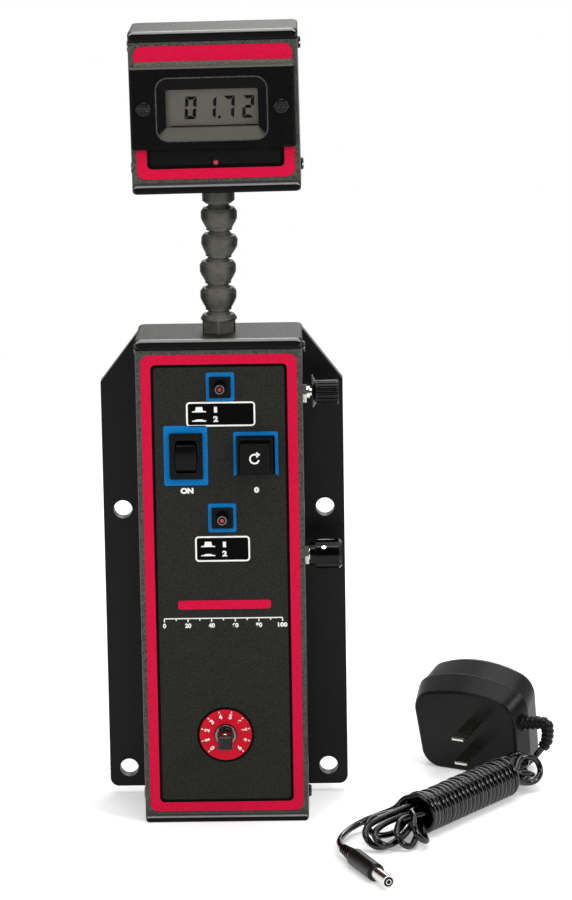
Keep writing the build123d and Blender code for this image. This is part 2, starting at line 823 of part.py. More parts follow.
for button_name, button_z in zip(("upper_button", "lower_button"), button_heights):
    button = push_button(button_z)
    button.label = button_name
    export_step(button, f"parts/{button_name}.step")

# Side controls: two potentiometers in the right wall, their shafts and knobs


def on_right(z: float, reach: float) -> Plane:
    """Plane on the right side's control axis at this height, this far out of the wall."""
    return sideways(ground, side + reach, z, 1)


with BuildPart() as pots:
    for knob_z in (upper_knob_z, lower_knob_z):
        with BuildSketch(on_right(knob_z, -wall)):
            Circle(pot_radius)
        extrude(amount=-pot_depth)
        with BuildSketch(on_right(knob_z, -wall)):
            Circle(pot_bush_radius)
        extrude(amount=wall + pot_bush_reach)
        with Locations(on_right(knob_z, pot_bush_reach)):
            Hole(shaft_radius + shaft_gap, depth=pot_bush_reach + wall + pot_bore_depth)
pots.part.label = "pots"
export_step(pots.part, "parts/pots.step")

with BuildPart() as panel_nuts:
    with Locations(on_right(upper_knob_z, 0), on_right(lower_knob_z, 0)):
        add(hex_nut(pot_nut_flats, pot_nut_thickness, pot_bush_radius))
    with Locations(sideways(ground, wall - side, jack_z, 1)):
        add(hex_nut(jack_nut_flats, jack_nut_thickness, jack_radius))
panel_nuts.part.label = "panel_nuts"
export_step(panel_nuts.part, "parts/panel_nuts.step")


def pot_shaft(height: float) -> Part:
    """Shaft that turns in the potentiometer and carries the knob."""
    with BuildPart() as shaft:
        with BuildSketch(on_right(height, shaft_gap - wall - pot_bore_depth)):
            Circle(shaft_radius)
        extrude(amount=wall + pot_bore_depth - shaft_gap + knob_bore_end)
    return shaft.part


for shaft_name, shaft_z in (("upper_pot_shaft", upper_knob_z), ("lower_pot_shaft", lower_knob_z)):
    shaft = pot_shaft(shaft_z)
    shaft.label = shaft_name
    export_step(shaft, f"parts/{shaft_name}.step")

with BuildPart() as upper_knob:
    with BuildSketch(facing(ground, 0, 0, upper_knob_z)):
        with BuildLine():
            Polyline((side + skirt_start, 0), (side + skirt_start, skirt_radius),
                     (side + skirt_start + skirt_edge, skirt_radius),
                     (side + skirt_end, upper_knob_radius),
                     (side + upper_knob_end - upper_knob_edge, upper_knob_radius),
                     (side + upper_knob_end, upper_knob_radius - upper_knob_edge),
                     (side + upper_knob_end, 0), close=True)
        make_face()
    revolve(axis=Axis((0, 0, upper_knob_z), (1, 0, 0)))
    with BuildSketch(on_right(upper_knob_z, upper_knob_end)):
        with PolarLocations(upper_knob_radius, flute_count):
            Circle(flute_radius)
    extrude(amount=-(upper_knob_end - skirt_end - skirt_edge), mode=Mode.SUBTRACT)
    with Locations(Plane(origin=(side + skirt_start, 0, upper_knob_z), z_dir=(-1, 0, 0))):
        Hole(shaft_radius, depth=knob_bore_end - skirt_start)
upper_knob.part.label = "upper_knob"
export_step(upper_knob.part, "parts/upper_knob.step")

set_screw_plane = Plane(origin=(side + set_screw_station, 0, lower_knob_z), x_dir=(1, 0, 0),
                        z_dir=(0, -cos(radians(set_screw_angle)), sin(radians(set_screw_angle))))

with BuildPart() as lower_knob:
    with BuildSketch(on_right(lower_knob_z, lower_neck_start)):
        Circle(lower_neck_radius)
    extrude(amount=lower_body_start - lower_neck_start)
    with BuildSketch(on_right(lower_knob_z, lower_body_start)):
        Circle(lower_knob_radius)
    extrude(amount=lower_knob_end - lower_body_start)
    chamfer(lower_knob.edges().group_by(Axis.X)[-1], lower_knob_chamfer)
    with Locations(Plane(origin=(side + lower_neck_start, 0, lower_knob_z), z_dir=(-1, 0, 0))):
        CounterBoreHole(shaft_radius, pot_bush_radius + lower_bush_gap, lower_recess_depth,
                        depth=knob_bore_end - lower_neck_start)
    with BuildSketch(set_screw_plane):
        Circle(set_screw_radius)
    extrude(amount=lower_knob_radius, mode=Mode.SUBTRACT)
lower_knob.part.label = "lower_knob"
export_step(lower_knob.part, "parts/lower_knob.step")

with BuildPart() as knob_set_screw:
    with BuildSketch(set_screw_plane.offset(shaft_radius)):
        Circle(set_screw_radius)
    extrude(amount=lower_knob_radius - set_screw_sink - shaft_radius)
    with BuildSketch(set_screw_plane.offset(lower_knob_radius - set_screw_sink)):
        RegularPolygon(set_screw_socket, 6)
    extrude(amount=-set_screw_sink, mode=Mode.SUBTRACT)
knob_set_screw.part.label = "knob_set_screw"
export_step(knob_set_screw.part, "parts/knob_set_screw.step")

# Main board on its posts

with BuildPart() as main_board:
    with BuildSketch(facing(ground, post_height - back_wall, 0, board_z)):
        Rectangle(board_width, board_height)
    extrude(amount=board_thickness)
main_board.part.label = "main_board"
export_step(main_board.part, "parts/main_board.step")

with BuildPart() as board_posts:
    with BuildSketch(facing(ground, -back_wall, 0, board_z)):
        with GridLocations(board_width - 2 * post_inset, board_height - 2 * post_inset, 2, 2):
            Circle(post_radius)
    extrude(amount=post_height)
board_posts.part.label = "board_posts"
export_step(board_posts.part, "parts/board_posts.step")

# Power inlet in the left wall

with BuildPart() as dc_jack:
    with BuildSketch(sideways(ground, side, jack_z, -1)):
        Circle(jack_flange_radius)
    extrude(amount=jack_flange_thickness)
    with BuildSketch(sideways(ground, side, jack_z, -1)):
        Circle(jack_radius)
    extrude(amount=-jack_length)
    with Locations(sideways(ground, side + jack_flange_thickness, jack_z, -1)):
        Hole(jack_bore_radius, depth=jack_bore_depth)
    with BuildSketch(sideways(ground, side, jack_z, -1)):
        Circle(jack_pin_radius)
    extrude(amount=-jack_length)
dc_jack.part.label = "dc_jack"
export_step(dc_jack.part, "parts/dc_jack.step")

# Ball-and-socket neck

throat_rise = sqrt(ball_joint_radius ** 2 - ball_throat_radius ** 2)
foot_drop = sqrt(ball_joint_radius ** 2 - ball_foot_radius ** 2)
socket_radius = ball_joint_radius + socket_gap
mouth_bore = sqrt(socket_radius ** 2 - mouth_rise ** 2)
cup_side = mouth_rise - cup_rim_height


def ball_half():
    """Draw the ball's section up to its throat and the start of the waist above it."""
    ball = ThreePointArc((ball_foot_radius, -foot_drop), (ball_joint_radius, 0),
                         (ball_throat_radius, throat_rise))
    Line((neck_bore_radius, -foot_drop), ball @ 0)
    Polyline(ball @ 1, (ball_throat_radius, waist_start), (waist_radius, waist_start))


def socket_half(centre: float, floor: float):
    """Draw the socket's rim and hollow around a ball at this height, down to the bore's end."""
    bore_drop = sqrt(socket_radius ** 2 - neck_bore_radius ** 2)
    Polyline((cup_radius, centre + cup_side), (mouth_radius, centre + mouth_rise),
             (mouth_bore, centre + mouth_rise))
    ThreePointArc((mouth_bore, centre + mouth_rise), (socket_radius, centre),
                  (neck_bore_radius, centre - bore_drop))
    Line((neck_bore_radius, centre - bore_drop), (neck_bore_radius, floor))


def neck_segment(ball_plane: Plane) -> Part:
    """Hollow link with a ball below, at the plane's origin, and a socket above."""
    cup_start = neck_pitch + cup_side - cup_height
    with BuildPart() as link:
        with BuildSketch(Plane(origin=ball_plane.origin, x_dir=ball_plane.x_dir,
                               z_dir=-ball_plane.y_dir)):
            with BuildLine():
                ball_half()
                Line((waist_radius, waist_start), (waist_radius, waist_start + waist_length))
                flare = Spline((waist_radius, waist_start + waist_length), (cup_radius, cup_start),
                               tangents=((0.5, 1.0), (0.3, 1.0)))
                Line(flare @ 1, (cup_radius, neck_pitch + cup_side))
                socket_half(neck_pitch, -foot_drop)
            make_face()
        revolve(axis=Axis(ball_plane.origin, ball_plane.z_dir))
    return link.part


with BuildPart() as neck_base_connector:
    with BuildSketch(Plane.XZ):
        with BuildLine():
            ball_centre = base_height + first_ball_rise
            connector_foot = base_height - spigot_length
            Polyline((neck_bore_radius, connector_foot), (spigot_radius, connector_foot),
                     (spigot_radius, base_height), (cup_radius, base_height),
                     (cup_radius, ball_centre + cup_side))
            socket_half(ball_centre, connector_foot)
        make_face()
    revolve(axis=Axis.Z)
    with BuildSketch(Plane.XY.offset(base_height)):
        Circle(hex_radius)
        RegularPolygon(hex_radius * cos(radians(30)), 6, major_radius=False, rotation=30,
                       mode=Mode.SUBTRACT)
    extrude(amount=hex_height, mode=Mode.SUBTRACT)
neck_base_connector.part.label = "neck_base_connector"
export_step(neck_base_connector.part, "parts/neck_base_connector.step")

with BuildPart() as neck_base_nut:
    with Locations(Plane.XY.offset(base_height - cap_plate - spigot_nut_thickness)):
        add(hex_nut(spigot_nut_flats, spigot_nut_thickness, spigot_radius))
neck_base_nut.part.label = "neck_base_nut"
export_step(neck_base_nut.part, "parts/neck_base_nut.step")

for number, segment_lean in enumerate(segment_leans, 1):
    lean = radians(segment_lean)
    segment = neck_segment(Plane(origin=balls[number - 1], x_dir=(cos(lean), 0, -sin(lean)),
                                 z_dir=(sin(lean), 0, cos(lean))))
    segment.label = f"neck_segment_{number}"
    export_step(segment, f"parts/neck_segment_{number}.step")

with BuildPart() as head_collar:
    with BuildSketch(Plane(origin=balls[-1], x_dir=head.x_dir, z_dir=-head.y_dir)):
        with BuildLine():
            ball_half()
            collar_top = collar_reach + spigot_length
            Polyline((waist_radius, waist_start), (collar_radius, waist_start + collar_taper),
                     (collar_radius, collar_reach), (spigot_radius, collar_reach),
                     (spigot_radius, collar_top), (neck_bore_radius, collar_top),
                     (neck_bore_radius, -foot_drop))
        make_face()
    revolve(axis=Axis(balls[-1], head.z_dir))
head_collar.part.label = "head_collar"
export_step(head_collar.part, "parts/head_collar.step")

with BuildPart() as head_collar_nut:
    with Locations(head.offset(cap_plate)):
        add(hex_nut(spigot_nut_flats, spigot_nut_thickness, spigot_radius))
head_collar_nut.part.label = "head_collar_nut"
export_step(head_collar_nut.part, "parts/head_collar_nut.step")

# Head shell with its caps, trims, screws, overlay and lamp

head_screw_heights = (head_foot_screw_inset, head_height - head_top_screw_inset)
head_box = shell(head, head_foot_height, head_shell_top, head_overlay_bottom, head_overlay_top,
                 head_screw_heights)
meter_body_width = window_inner_width + 2 * (lcd_border + lcd_side_gap + meter_body_wall)
meter_body_height = window_inner_height + 2 * (lcd_border + lcd_end_gap + meter_body_wall)
meter_screw_x = meter_body_width / 2 + meter_screw_inset
body_opening = (meter_body_width + 2 * meter_body_gap, meter_body_height + 2 * meter_body_gap)

with BuildPart() as head_shell:
    add(head_box)
    with BuildSketch(meter):
        Rectangle(*body_opening)
        with GridLocations(2 * meter_screw_x, 1, 2, 1):
            Circle(screw_radius + hole_clearance)
    extrude(amount=-2 * wall, mode=Mode.SUBTRACT)
    with Locations(facing(head, front, 0, lamp_z)):
        Hole(lamp_radius, depth=2 * wall)
head_shell.part.label = "head_shell"
export_step(head_shell.part, "parts/head_shell.step")

head_top_seat = seat(head, head_shell_top, 1)
head_foot_seat = seat(head, head_foot_height, -1)

with BuildPart() as head_top_cap:
    add(end_cap(head_top_seat, cap_height, head_top_screw_inset, False))
head_top_cap.part.label = "head_top_cap"
export_step(head_top_cap.part, "parts/head_top_cap.step")

with BuildPart() as head_foot_cap:
    add(end_cap(head_foot_seat, head_foot_height, head_foot_screw_inset, True))
head_foot_cap.part.label = "head_foot_cap"
export_step(head_foot_cap.part, "parts/head_foot_cap.step")

with BuildPart() as head_trims:
    add(trim_strip(head_top_seat, cap_height))
    add(trim_strip(head_foot_seat, head_foot_height))
head_trims.part.label = "head_trims"
export_step(head_trims.part, "parts/head_trims.step")

with BuildPart() as head_cap_screws:
    for height in head_screw_heights:
        with Locations(sideways(head, side, height, 1), sideways(head, side, height, -1)):
            add(slotted_screw(screw_head_radius, screw_head_height, screw_length))
head_cap_screws.part.label = "head_cap_screws"
export_step(head_cap_screws.part, "parts/head_cap_screws.step")

with BuildPart() as head_overlay:
    with BuildSketch(facing(head, front - overlay_recess)):
        overlay_panel(head_overlay_bottom, head_overlay_top)
        with Locations((meter_x, meter_z)):
            Rectangle(*body_opening, mode=Mode.SUBTRACT)
            with GridLocations(2 * meter_screw_x, 1, 2, 1):
                Circle(screw_radius + hole_clearance, mode=Mode.SUBTRACT)
        with Locations((0, lamp_z)):
            Circle(lamp_radius, mode=Mode.SUBTRACT)
    extrude(amount=overlay_thickness)
head_overlay.part.label = "head_overlay"
export_step(head_overlay.part, "parts/head_overlay.step")

with BuildPart() as indicator_lamp:
    with BuildSketch(facing(head, overlay_face + lamp_proud, 0, lamp_z)):
        Circle(lamp_radius)
    extrude(amount=-lamp_length)
    fillet(indicator_lamp.edges().group_by(Axis.Y)[0], lamp_proud * lamp_dome_share)
indicator_lamp.part.label = "indicator_lamp"
export_step(indicator_lamp.part, "parts/indicator_lamp.step")

# Panel meter

window = meter.offset(meter_proud)
throat_plane = window.offset(-window_depth)
lens_plane = throat_plane.offset(-throat_depth)

with BuildPart() as meter_bezel:
    with BuildSketch(meter):
        RectangleRounded(meter_width, meter_height, meter_corner_radius)
    extrude(amount=meter_proud)
    chamfer(meter_bezel.faces().sort_by(Axis.Y)[0].edges(), meter_bevel)
    with BuildSketch(meter):
        Rectangle(meter_body_width, meter_body_height)
    extrude(amount=-meter_body_depth)
    with BuildSketch(window):
        with Locations((window_x, window_z)):
            RectangleRounded(window_outer_width, window_outer_height, window_outer_radius)
    with BuildSketch(throat_plane):
        with Locations((window_x, window_z)):
            RectangleRounded(window_inner_width, window_inner_height, window_inner_radius)
    loft(mode=Mode.SUBTRACT)
    with BuildSketch(throat_plane):
        with Locations((window_x, window_z)):
            RectangleRounded(window_inner_width, window_inner_height, window_inner_radius)
    extrude(amount=-2 * throat_depth, mode=Mode.SUBTRACT)
    with BuildSketch(meter.offset(-meter_body_depth)):
        Rectangle(meter_body_width - 2 * meter_body_wall, meter_body_height - 2 * meter_body_wall)
    extrude(amount=meter_body_depth + meter_proud - window_depth - throat_depth, mode=Mode.SUBTRACT)
    with Locations(window):
        with GridLocations(2 * meter_screw_x, 1, 2, 1):
            Hole(screw_radius + hole_clearance, depth=2 * meter_proud)
meter_bezel.part.label = "meter_bezel"
export_step(meter_bezel.part, "parts/meter_bezel.step")


def window_panel(start: Plane, thickness: float, border: float) -> Part:
    """Rectangular panel behind the window, larger than its throat by this border."""
    with BuildPart() as panel:
        with BuildSketch(start):
            with Locations((window_x, window_z)):
                Rectangle(window_inner_width + 2 * border, window_inner_height + 2 * border)
        extrude(amount=-thickness)
    return panel.part


meter_window = window_panel(lens_plane, lens_thickness, lens_border)
meter_window.label = "meter_window"
export_step(meter_window, "parts/meter_window.step")

lcd_glass = window_panel(lens_plane.offset(-lens_thickness), lcd_thickness, lcd_border)
lcd_glass.label = "lcd_glass"
export_step(lcd_glass, "parts/lcd_glass.step")

with BuildPart() as meter_board:
    with BuildSketch(meter.offset(-meter_board_setback)):
        Rectangle(meter_body_width - 2 * meter_body_wall - 2 * meter_board_gap,
                  meter_body_height - 2 * meter_body_wall - 2 * meter_board_gap)
    extrude(amount=-board_thickness)
meter_board.part.label = "meter_board"
export_step(meter_board.part, "parts/meter_board.step")

with BuildPart() as meter_screws:
    with Locations(window):
        with GridLocations(2 * meter_screw_x, 1, 2, 1):
            add(slotted_screw(meter_screw_head_radius, meter_screw_head_height, meter_screw_length))
meter_screws.part.label = "meter_screws"
export_step(meter_screws.part, "parts/meter_screws.step")

# Mains adaptor, which stands on the floor and leans towards the viewer

turn = radians(adaptor_turn)
lean = radians(adaptor_lean)
adaptor_normal = Vector(sin(turn) * cos(lean), -cos(turn) * cos(lean), -sin(lean))
adaptor_front_plane = Plane(origin=(adaptor_x, adaptor_y, 0), x_dir=(cos(turn), sin(turn), 0),
                            z_dir=adaptor_normal)


def adaptor_section(depth: float, width: float, top: float, shoulder: float,
                    inset: float = 0.0) -> Sketch:
    """One cross-section of the housing, arched above and level on the floor below."""
    foot = -depth * tan(lean)
    half = width / 2 - inset
    with BuildSketch(adaptor_front_plane.offset(-depth)) as section:
        with BuildLine():
            Polyline((-half, shoulder - inset), (-half + adaptor_tuck, foot),
                     (half - adaptor_tuck, foot), (half, shoulder - inset))
            ThreePointArc((half, shoulder - inset), (0, top - inset), (-half, shoulder - inset))
        make_face()
        fillet(section.vertices().group_by(Axis.Y)[0], adaptor_foot_radius)
        fillet(section.vertices().group_by(Axis.Y)[-1], adaptor_top_radius)
    return section.sketch


adaptor_axis = Axis(adaptor_front_plane.origin, adaptor_normal)
adaptor_seam_section = (adaptor_seam, adaptor_seam_width, adaptor_seam_top, adaptor_seam_shoulder)
relief_start = adaptor_front_plane.from_local_coords(
    (adaptor_seam_width / 2 - relief_root, relief_height, -relief_depth))
relief_socket = Plane(origin=relief_start, z_dir=Vector(*relief_points[0]) - relief_start)

with BuildPart() as adaptor_front:
    loft([adaptor_section(0, adaptor_front_width, adaptor_front_top, adaptor_front_shoulder),
          adaptor_section(*adaptor_seam_section)])
    fillet(adaptor_front.faces().sort_by(adaptor_axis)[-1].edges(), adaptor_front_edge)
    with BuildSketch(relief_socket):
        Circle(relief_radius + relief_gap)
    extrude(amount=2 * relief_root, mode=Mode.SUBTRACT)
adaptor_front.part.label = "adaptor_front"
export_step(adaptor_front.part, "parts/adaptor_front.step")

with BuildPart() as adaptor_back:
    loft([adaptor_section(*adaptor_seam_section, adaptor_step),
          adaptor_section(adaptor_depth, adaptor_back_width, adaptor_back_top,
                          adaptor_back_shoulder)])
    fillet(adaptor_back.faces().sort_by(adaptor_axis)[0].edges(), adaptor_back_edge)
    with BuildSketch(relief_socket):
        Circle(relief_radius + relief_gap)
    extrude(amount=2 * relief_root, mode=Mode.SUBTRACT)
adaptor_back.part.label = "adaptor_back"
export_step(adaptor_back.part, "parts/adaptor_back.step")

with BuildPart() as adaptor_blades:
    with BuildSketch(adaptor_front_plane):
        with Locations((blade_x, blade_height)):
            with GridLocations(1, blade_pitch, 1, 2):
                Rectangle(blade_width, blade_thickness)
    extrude(amount=blade_length)
    chamfer(adaptor_blades.faces().group_by(adaptor_axis)[-1].edges(), blade_tip_chamfer)
adaptor_blades.part.label = "adaptor_blades"
export_step(adaptor_blades.part, "parts/adaptor_blades.step")

# Cord, from the adaptor's strain relief through the wound hank to the plug


def corner_radii(points: list) -> list:
    """Largest bend at each corner that leaves each straight run a tenth of its length."""
    vectors = [Vector(*point) for point in points]
    radii = []
    for before, corner, after in zip(vectors, vectors[1:], vectors[2:]):
        arriving, leaving = corner - before, after - corner
        half_turn = radians(arriving.get_angle(leaving) / 2)
        radii.append(arc_share * min(arriving.length, leaving.length) / tan(half_turn))
    return radii


def round_tube(points: list, radii: list, radius: float) -> Part:
    """Tube of this radius along straight runs joined by tangent arcs."""
    with BuildPart() as tube:
        with BuildLine() as path:
            FilletPolyline(*points, radius=radii)
        start = Plane(origin=path.line @ 0, z_dir=path.line % 0)
        with BuildSketch(start):
            Circle(radius)
        sweep(path=path.line)
    return tube.part


relief_path = [relief_start, *relief_points]
adaptor_strain_relief = round_tube(relief_path, [relief_bend] * 2, relief_radius)
adaptor_strain_relief.label = "adaptor_strain_relief"
export_step(adaptor_strain_relief, "parts/adaptor_strain_relief.step")

for cord_name, cord_points in (("cord_lead", [relief_points[-1], *lead_points]),
                               ("cord_tail", [*tail_points, plug_start])):
    cord_radii = corner_radii(cord_points)
    cord = round_tube(cord_points, cord_radii, cord_radius)
    cord.label = cord_name
    export_step(cord, f"parts/{cord_name}.step")
    print(cord_name, "radii", [round(value, 1) for value in cord_radii])


def along(origin: tuple, direction: Vector) -> Plane:
    """Upright plane through a level axis, with x along the axis and y up."""
    return Plane(origin=origin, x_dir=direction, z_dir=direction.cross(Vector(0, 0, 1)))


hank_vector = Vector(*hank_end) - Vector(*hank_start)
hank_length = hank_vector.length

with BuildPart() as cord_hank:
    with BuildSketch(along(hank_start, hank_vector.normalized())):
        with BuildLine():
            loops_end = hank_length + hank_right_loops
            Polyline((-hank_left_loops, 0), (loops_end, 0))
            left_round = RadiusArc((-hank_left_loops, 0),
                                   (loop_end_radius - hank_left_loops, loop_end_radius),
                                   loop_end_radius)
            right_round = RadiusArc((loops_end - loop_end_radius, loop_end_radius), (loops_end, 0),
                                    loop_end_radius)
            Polyline(left_round @ 1, (0, loop_root_radius), (0, hank_radius), (hank_length, hank_radius),
                     (hank_length, loop_root_radius), right_round @ 0)
        make_face()
    revolve(axis=Axis(hank_start, hank_vector))
cord_hank.part.label = "cord_hank"
export_step(cord_hank.part, "parts/cord_hank.step")

plug_axis = Vector(*plug_direction).normalized()
plug_plane = along(plug_start, plug_axis)
plug_length = plug_relief_length + plug_body_length

with BuildPart() as dc_plug:
    with BuildSketch(plug_plane):
        with BuildLine():
            Polyline((0, 0), (0, cord_radius + plug_rib_depth), (plug_relief_length, plug_relief_radius),
                     (plug_relief_length + plug_shoulder, plug_body_radius),
                     (plug_length - plug_shoulder / 2, plug_body_radius),
                     (plug_length, plug_body_radius - plug_shoulder / 2), (plug_length, 0), close=True)
        make_face()
    revolve(axis=Axis(plug_start, plug_axis))
    rib_pitch = plug_relief_length / plug_rib_count
    for number in range(plug_rib_count):
        station = (number + 0.5) * rib_pitch
        with BuildSketch(Plane(origin=plug_plane.from_local_coords((station, 0, 0)), z_dir=plug_axis)):
            relief_share = (station + plug_rib_width) / plug_relief_length
            groove_radius = cord_radius + relief_share * (plug_relief_radius - cord_radius - plug_rib_depth)
            Circle(2 * plug_relief_radius)
            Circle(groove_radius, mode=Mode.SUBTRACT)
        extrude(amount=rib_pitch - plug_rib_width, mode=Mode.SUBTRACT)
dc_plug.part.label = "dc_plug"
export_step(dc_plug.part, "parts/dc_plug.step")

with BuildPart() as dc_plug_barrel:
    barrel_plane = Plane(origin=plug_plane.from_local_coords((plug_length, 0, 0)), z_dir=plug_axis)
    with BuildSketch(barrel_plane):
        Circle(barrel_radius)
    extrude(amount=barrel_length)
    with Locations(barrel_plane.offset(barrel_length)):
        Hole(barrel_bore_radius, depth=barrel_bore_depth)
dc_plug_barrel.part.label = "dc_plug_barrel"
export_step(dc_plug_barrel.part, "parts/dc_plug_barrel.step")
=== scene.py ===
"""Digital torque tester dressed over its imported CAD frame, for Blender 4.5.

Places are in millimetres in the frame of the CAD, where the front faces -Y and the
tester stands on z 0, and become metres where a mesh or curve is made.
"""

import json
import logging
from dataclasses import dataclass
from enum import Enum
from math import cos, pi, radians, sin

import bmesh
import bpy
from mathutils import Matrix, Vector

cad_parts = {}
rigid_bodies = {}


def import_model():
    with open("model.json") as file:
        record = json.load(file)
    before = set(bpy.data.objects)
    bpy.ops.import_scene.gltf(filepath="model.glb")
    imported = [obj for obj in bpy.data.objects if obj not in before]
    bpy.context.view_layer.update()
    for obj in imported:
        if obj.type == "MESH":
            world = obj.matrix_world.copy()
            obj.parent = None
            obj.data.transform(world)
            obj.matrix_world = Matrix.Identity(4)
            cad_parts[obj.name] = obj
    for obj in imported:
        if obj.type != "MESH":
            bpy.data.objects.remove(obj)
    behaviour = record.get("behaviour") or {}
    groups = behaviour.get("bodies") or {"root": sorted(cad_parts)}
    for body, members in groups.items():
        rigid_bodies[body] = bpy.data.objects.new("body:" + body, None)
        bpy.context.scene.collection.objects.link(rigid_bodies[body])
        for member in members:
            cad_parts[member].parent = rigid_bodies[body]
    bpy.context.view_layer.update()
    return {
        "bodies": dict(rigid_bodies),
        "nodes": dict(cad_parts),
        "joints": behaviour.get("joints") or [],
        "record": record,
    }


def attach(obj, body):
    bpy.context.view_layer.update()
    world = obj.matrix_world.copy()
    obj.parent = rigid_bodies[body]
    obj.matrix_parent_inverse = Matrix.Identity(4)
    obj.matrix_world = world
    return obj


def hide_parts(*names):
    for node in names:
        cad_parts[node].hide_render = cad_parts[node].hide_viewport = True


log = logging.getLogger("torque_tester")

MM = 0.001
PHOTO_HEIGHT = 900
WHITE = (1.0, 1.0, 1.0)
CORNER_STEPS = 6
TUBE_SIDES = 40
TUBE_CREASE = radians(35)

Pair = tuple[float, float]
Points = tuple[Pair, ...]
Outline = list[Pair]
Triple = tuple[float, float, float]
# The least x and height, then the greatest ones, or for a figure its width and height.
Box = tuple[float, float, float, float]
Piece = bpy.types.Object
Socket = bpy.types.NodeSocket


def srgb(red: int, green: int, blue: int) -> Triple:
    """Linear colour of a paint chip given in screen values from 0 to 255."""
    return tuple((value / 255) ** 2.2 for value in (red, green, blue))


class Blend(Enum):
    """What a Mix node blends, with the numbers of its first input and of its output."""

    COLOUR = ("RGBA", 6, 2)
    VALUE = ("FLOAT", 2, 0)


class NodeSheet:
    """The node tree of one material or world, with short ways to fill it."""

    USUAL_NOISE = (0.3, 0.7)

    def __init__(self, owner: bpy.types.ID) -> None:
        """Clears the owner's tree.

        Args:
            owner: The material or world that holds the tree.
        """
        owner.use_nodes = True
        self.tree = owner.node_tree
        self.tree.nodes.clear()

    def add(self, kind: str, settings: dict | None = None, **inputs: object) -> bpy.types.Node:
        """Adds a node and sets or links its inputs.

        Args:
            kind: Blender's name of the node, without ShaderNode.
            settings: Properties of the node itself.
            inputs: Values, or sockets to link, by input name with _ for a space.

        Returns:
            The node.
        """
        node = self.tree.nodes.new("ShaderNode" + kind)
        for name, value in (settings or {}).items():
            setattr(node, name, value)
        for name, value in inputs.items():
            self.feed(node.inputs[name.replace("_", " ")], value)
        return node

    def feed(self, socket: Socket, value: object) -> None:
        """Links an input to a socket, or sets it to a plain value.

        Args:
            socket: The input.
            value: A socket, a number or a colour.
        """
        if isinstance(value, Socket):
            self.tree.links.new(value, socket)
        elif isinstance(value, tuple) and socket.type == "RGBA":
            socket.default_value = (*value, 1.0)
        else:
            socket.default_value = value

    def pair(self, node: bpy.types.Node, first: object, second: object,
             start: int = 0) -> bpy.types.Node:
        """Feeds two inputs of a node that lie side by side.

        Args:
            node: The node.
            first: What the first of the two gets.
            second: What the second gets.
            start: Number of the first input.

        Returns:
            The node.
        """
        self.feed(node.inputs[start], first)
        self.feed(node.inputs[start + 1], second)
        return node

    def noise(self, size: float, detail: float = 2.0) -> Socket:
        """Adds an even noise.

        Args:
            size: Size of its patches, in millimetres.
            detail: Octaves of finer noise.

        Returns:
            The noise's value socket.
        """
        spot = self.add("TexCoord").outputs["Object"]
        grain = self.add("TexNoise", Vector=spot, Scale=1 / (size * MM), Detail=detail)
        return grain.outputs["Fac"]

    def spread(self, value: Socket, start: float, end: float, low: float = 0.0,
               high: float = 1.0, **settings: str) -> Socket:
        """Turns one range of a value into another.

        Args:
            value: The value.
            start: Where its range starts.
            end: Where its range ends.
            low: What the start turns into.
            high: What the end turns into.
            settings: Properties of the node itself.

        Returns:
            The new value's socket.
        """
        node = self.add("MapRange", settings, Value=value, From_Min=start, From_Max=end,
                        To_Min=low, To_Max=high)
        return node.outputs["Result"]

    def ranged(self, noise: Socket, low: float, high: float) -> Socket:
        """Spreads a noise's usual values from low to high."""
        return self.spread(noise, *self.USUAL_NOISE, low, high)

    def reckon(self, operation: str, first: object, second: object) -> Socket:
        """Joins two values by a product or the like."""
        node = self.add("Math", {"operation": operation})
        return self.pair(node, first, second).outputs["Value"]

    def blend(self, share: object, first: object, second: object,
              kind: Blend = Blend.COLOUR) -> Socket:
        """Mixes two colours or values.

        Args:
            share: How much of the second there is.
            first: The colour or value at share 0.
            second: The colour or value at share 1.
            kind: Which of the two it mixes.

        Returns:
            The mixture's socket.
        """
        data_type, start, result = kind.value
        mix = self.add("Mix", {"data_type": data_type})
        self.feed(mix.inputs["Factor"], share)
        return self.pair(mix, first, second, start).outputs[result]

    def mix_shaders(self, share: Socket, first: Socket, second: Socket) -> Socket:
        """Mixes two shaders by a share of the second."""
        node = self.add("MixShader", Fac=share)
        return self.pair(node, first, second, 1).outputs["Shader"]

    def facing(self, axis: str) -> Socket:
        """One part of the surface's own direction."""
        normal = self.add("NewGeometry").outputs["Normal"]
        return self.add("SeparateXYZ", Vector=normal).outputs[axis]


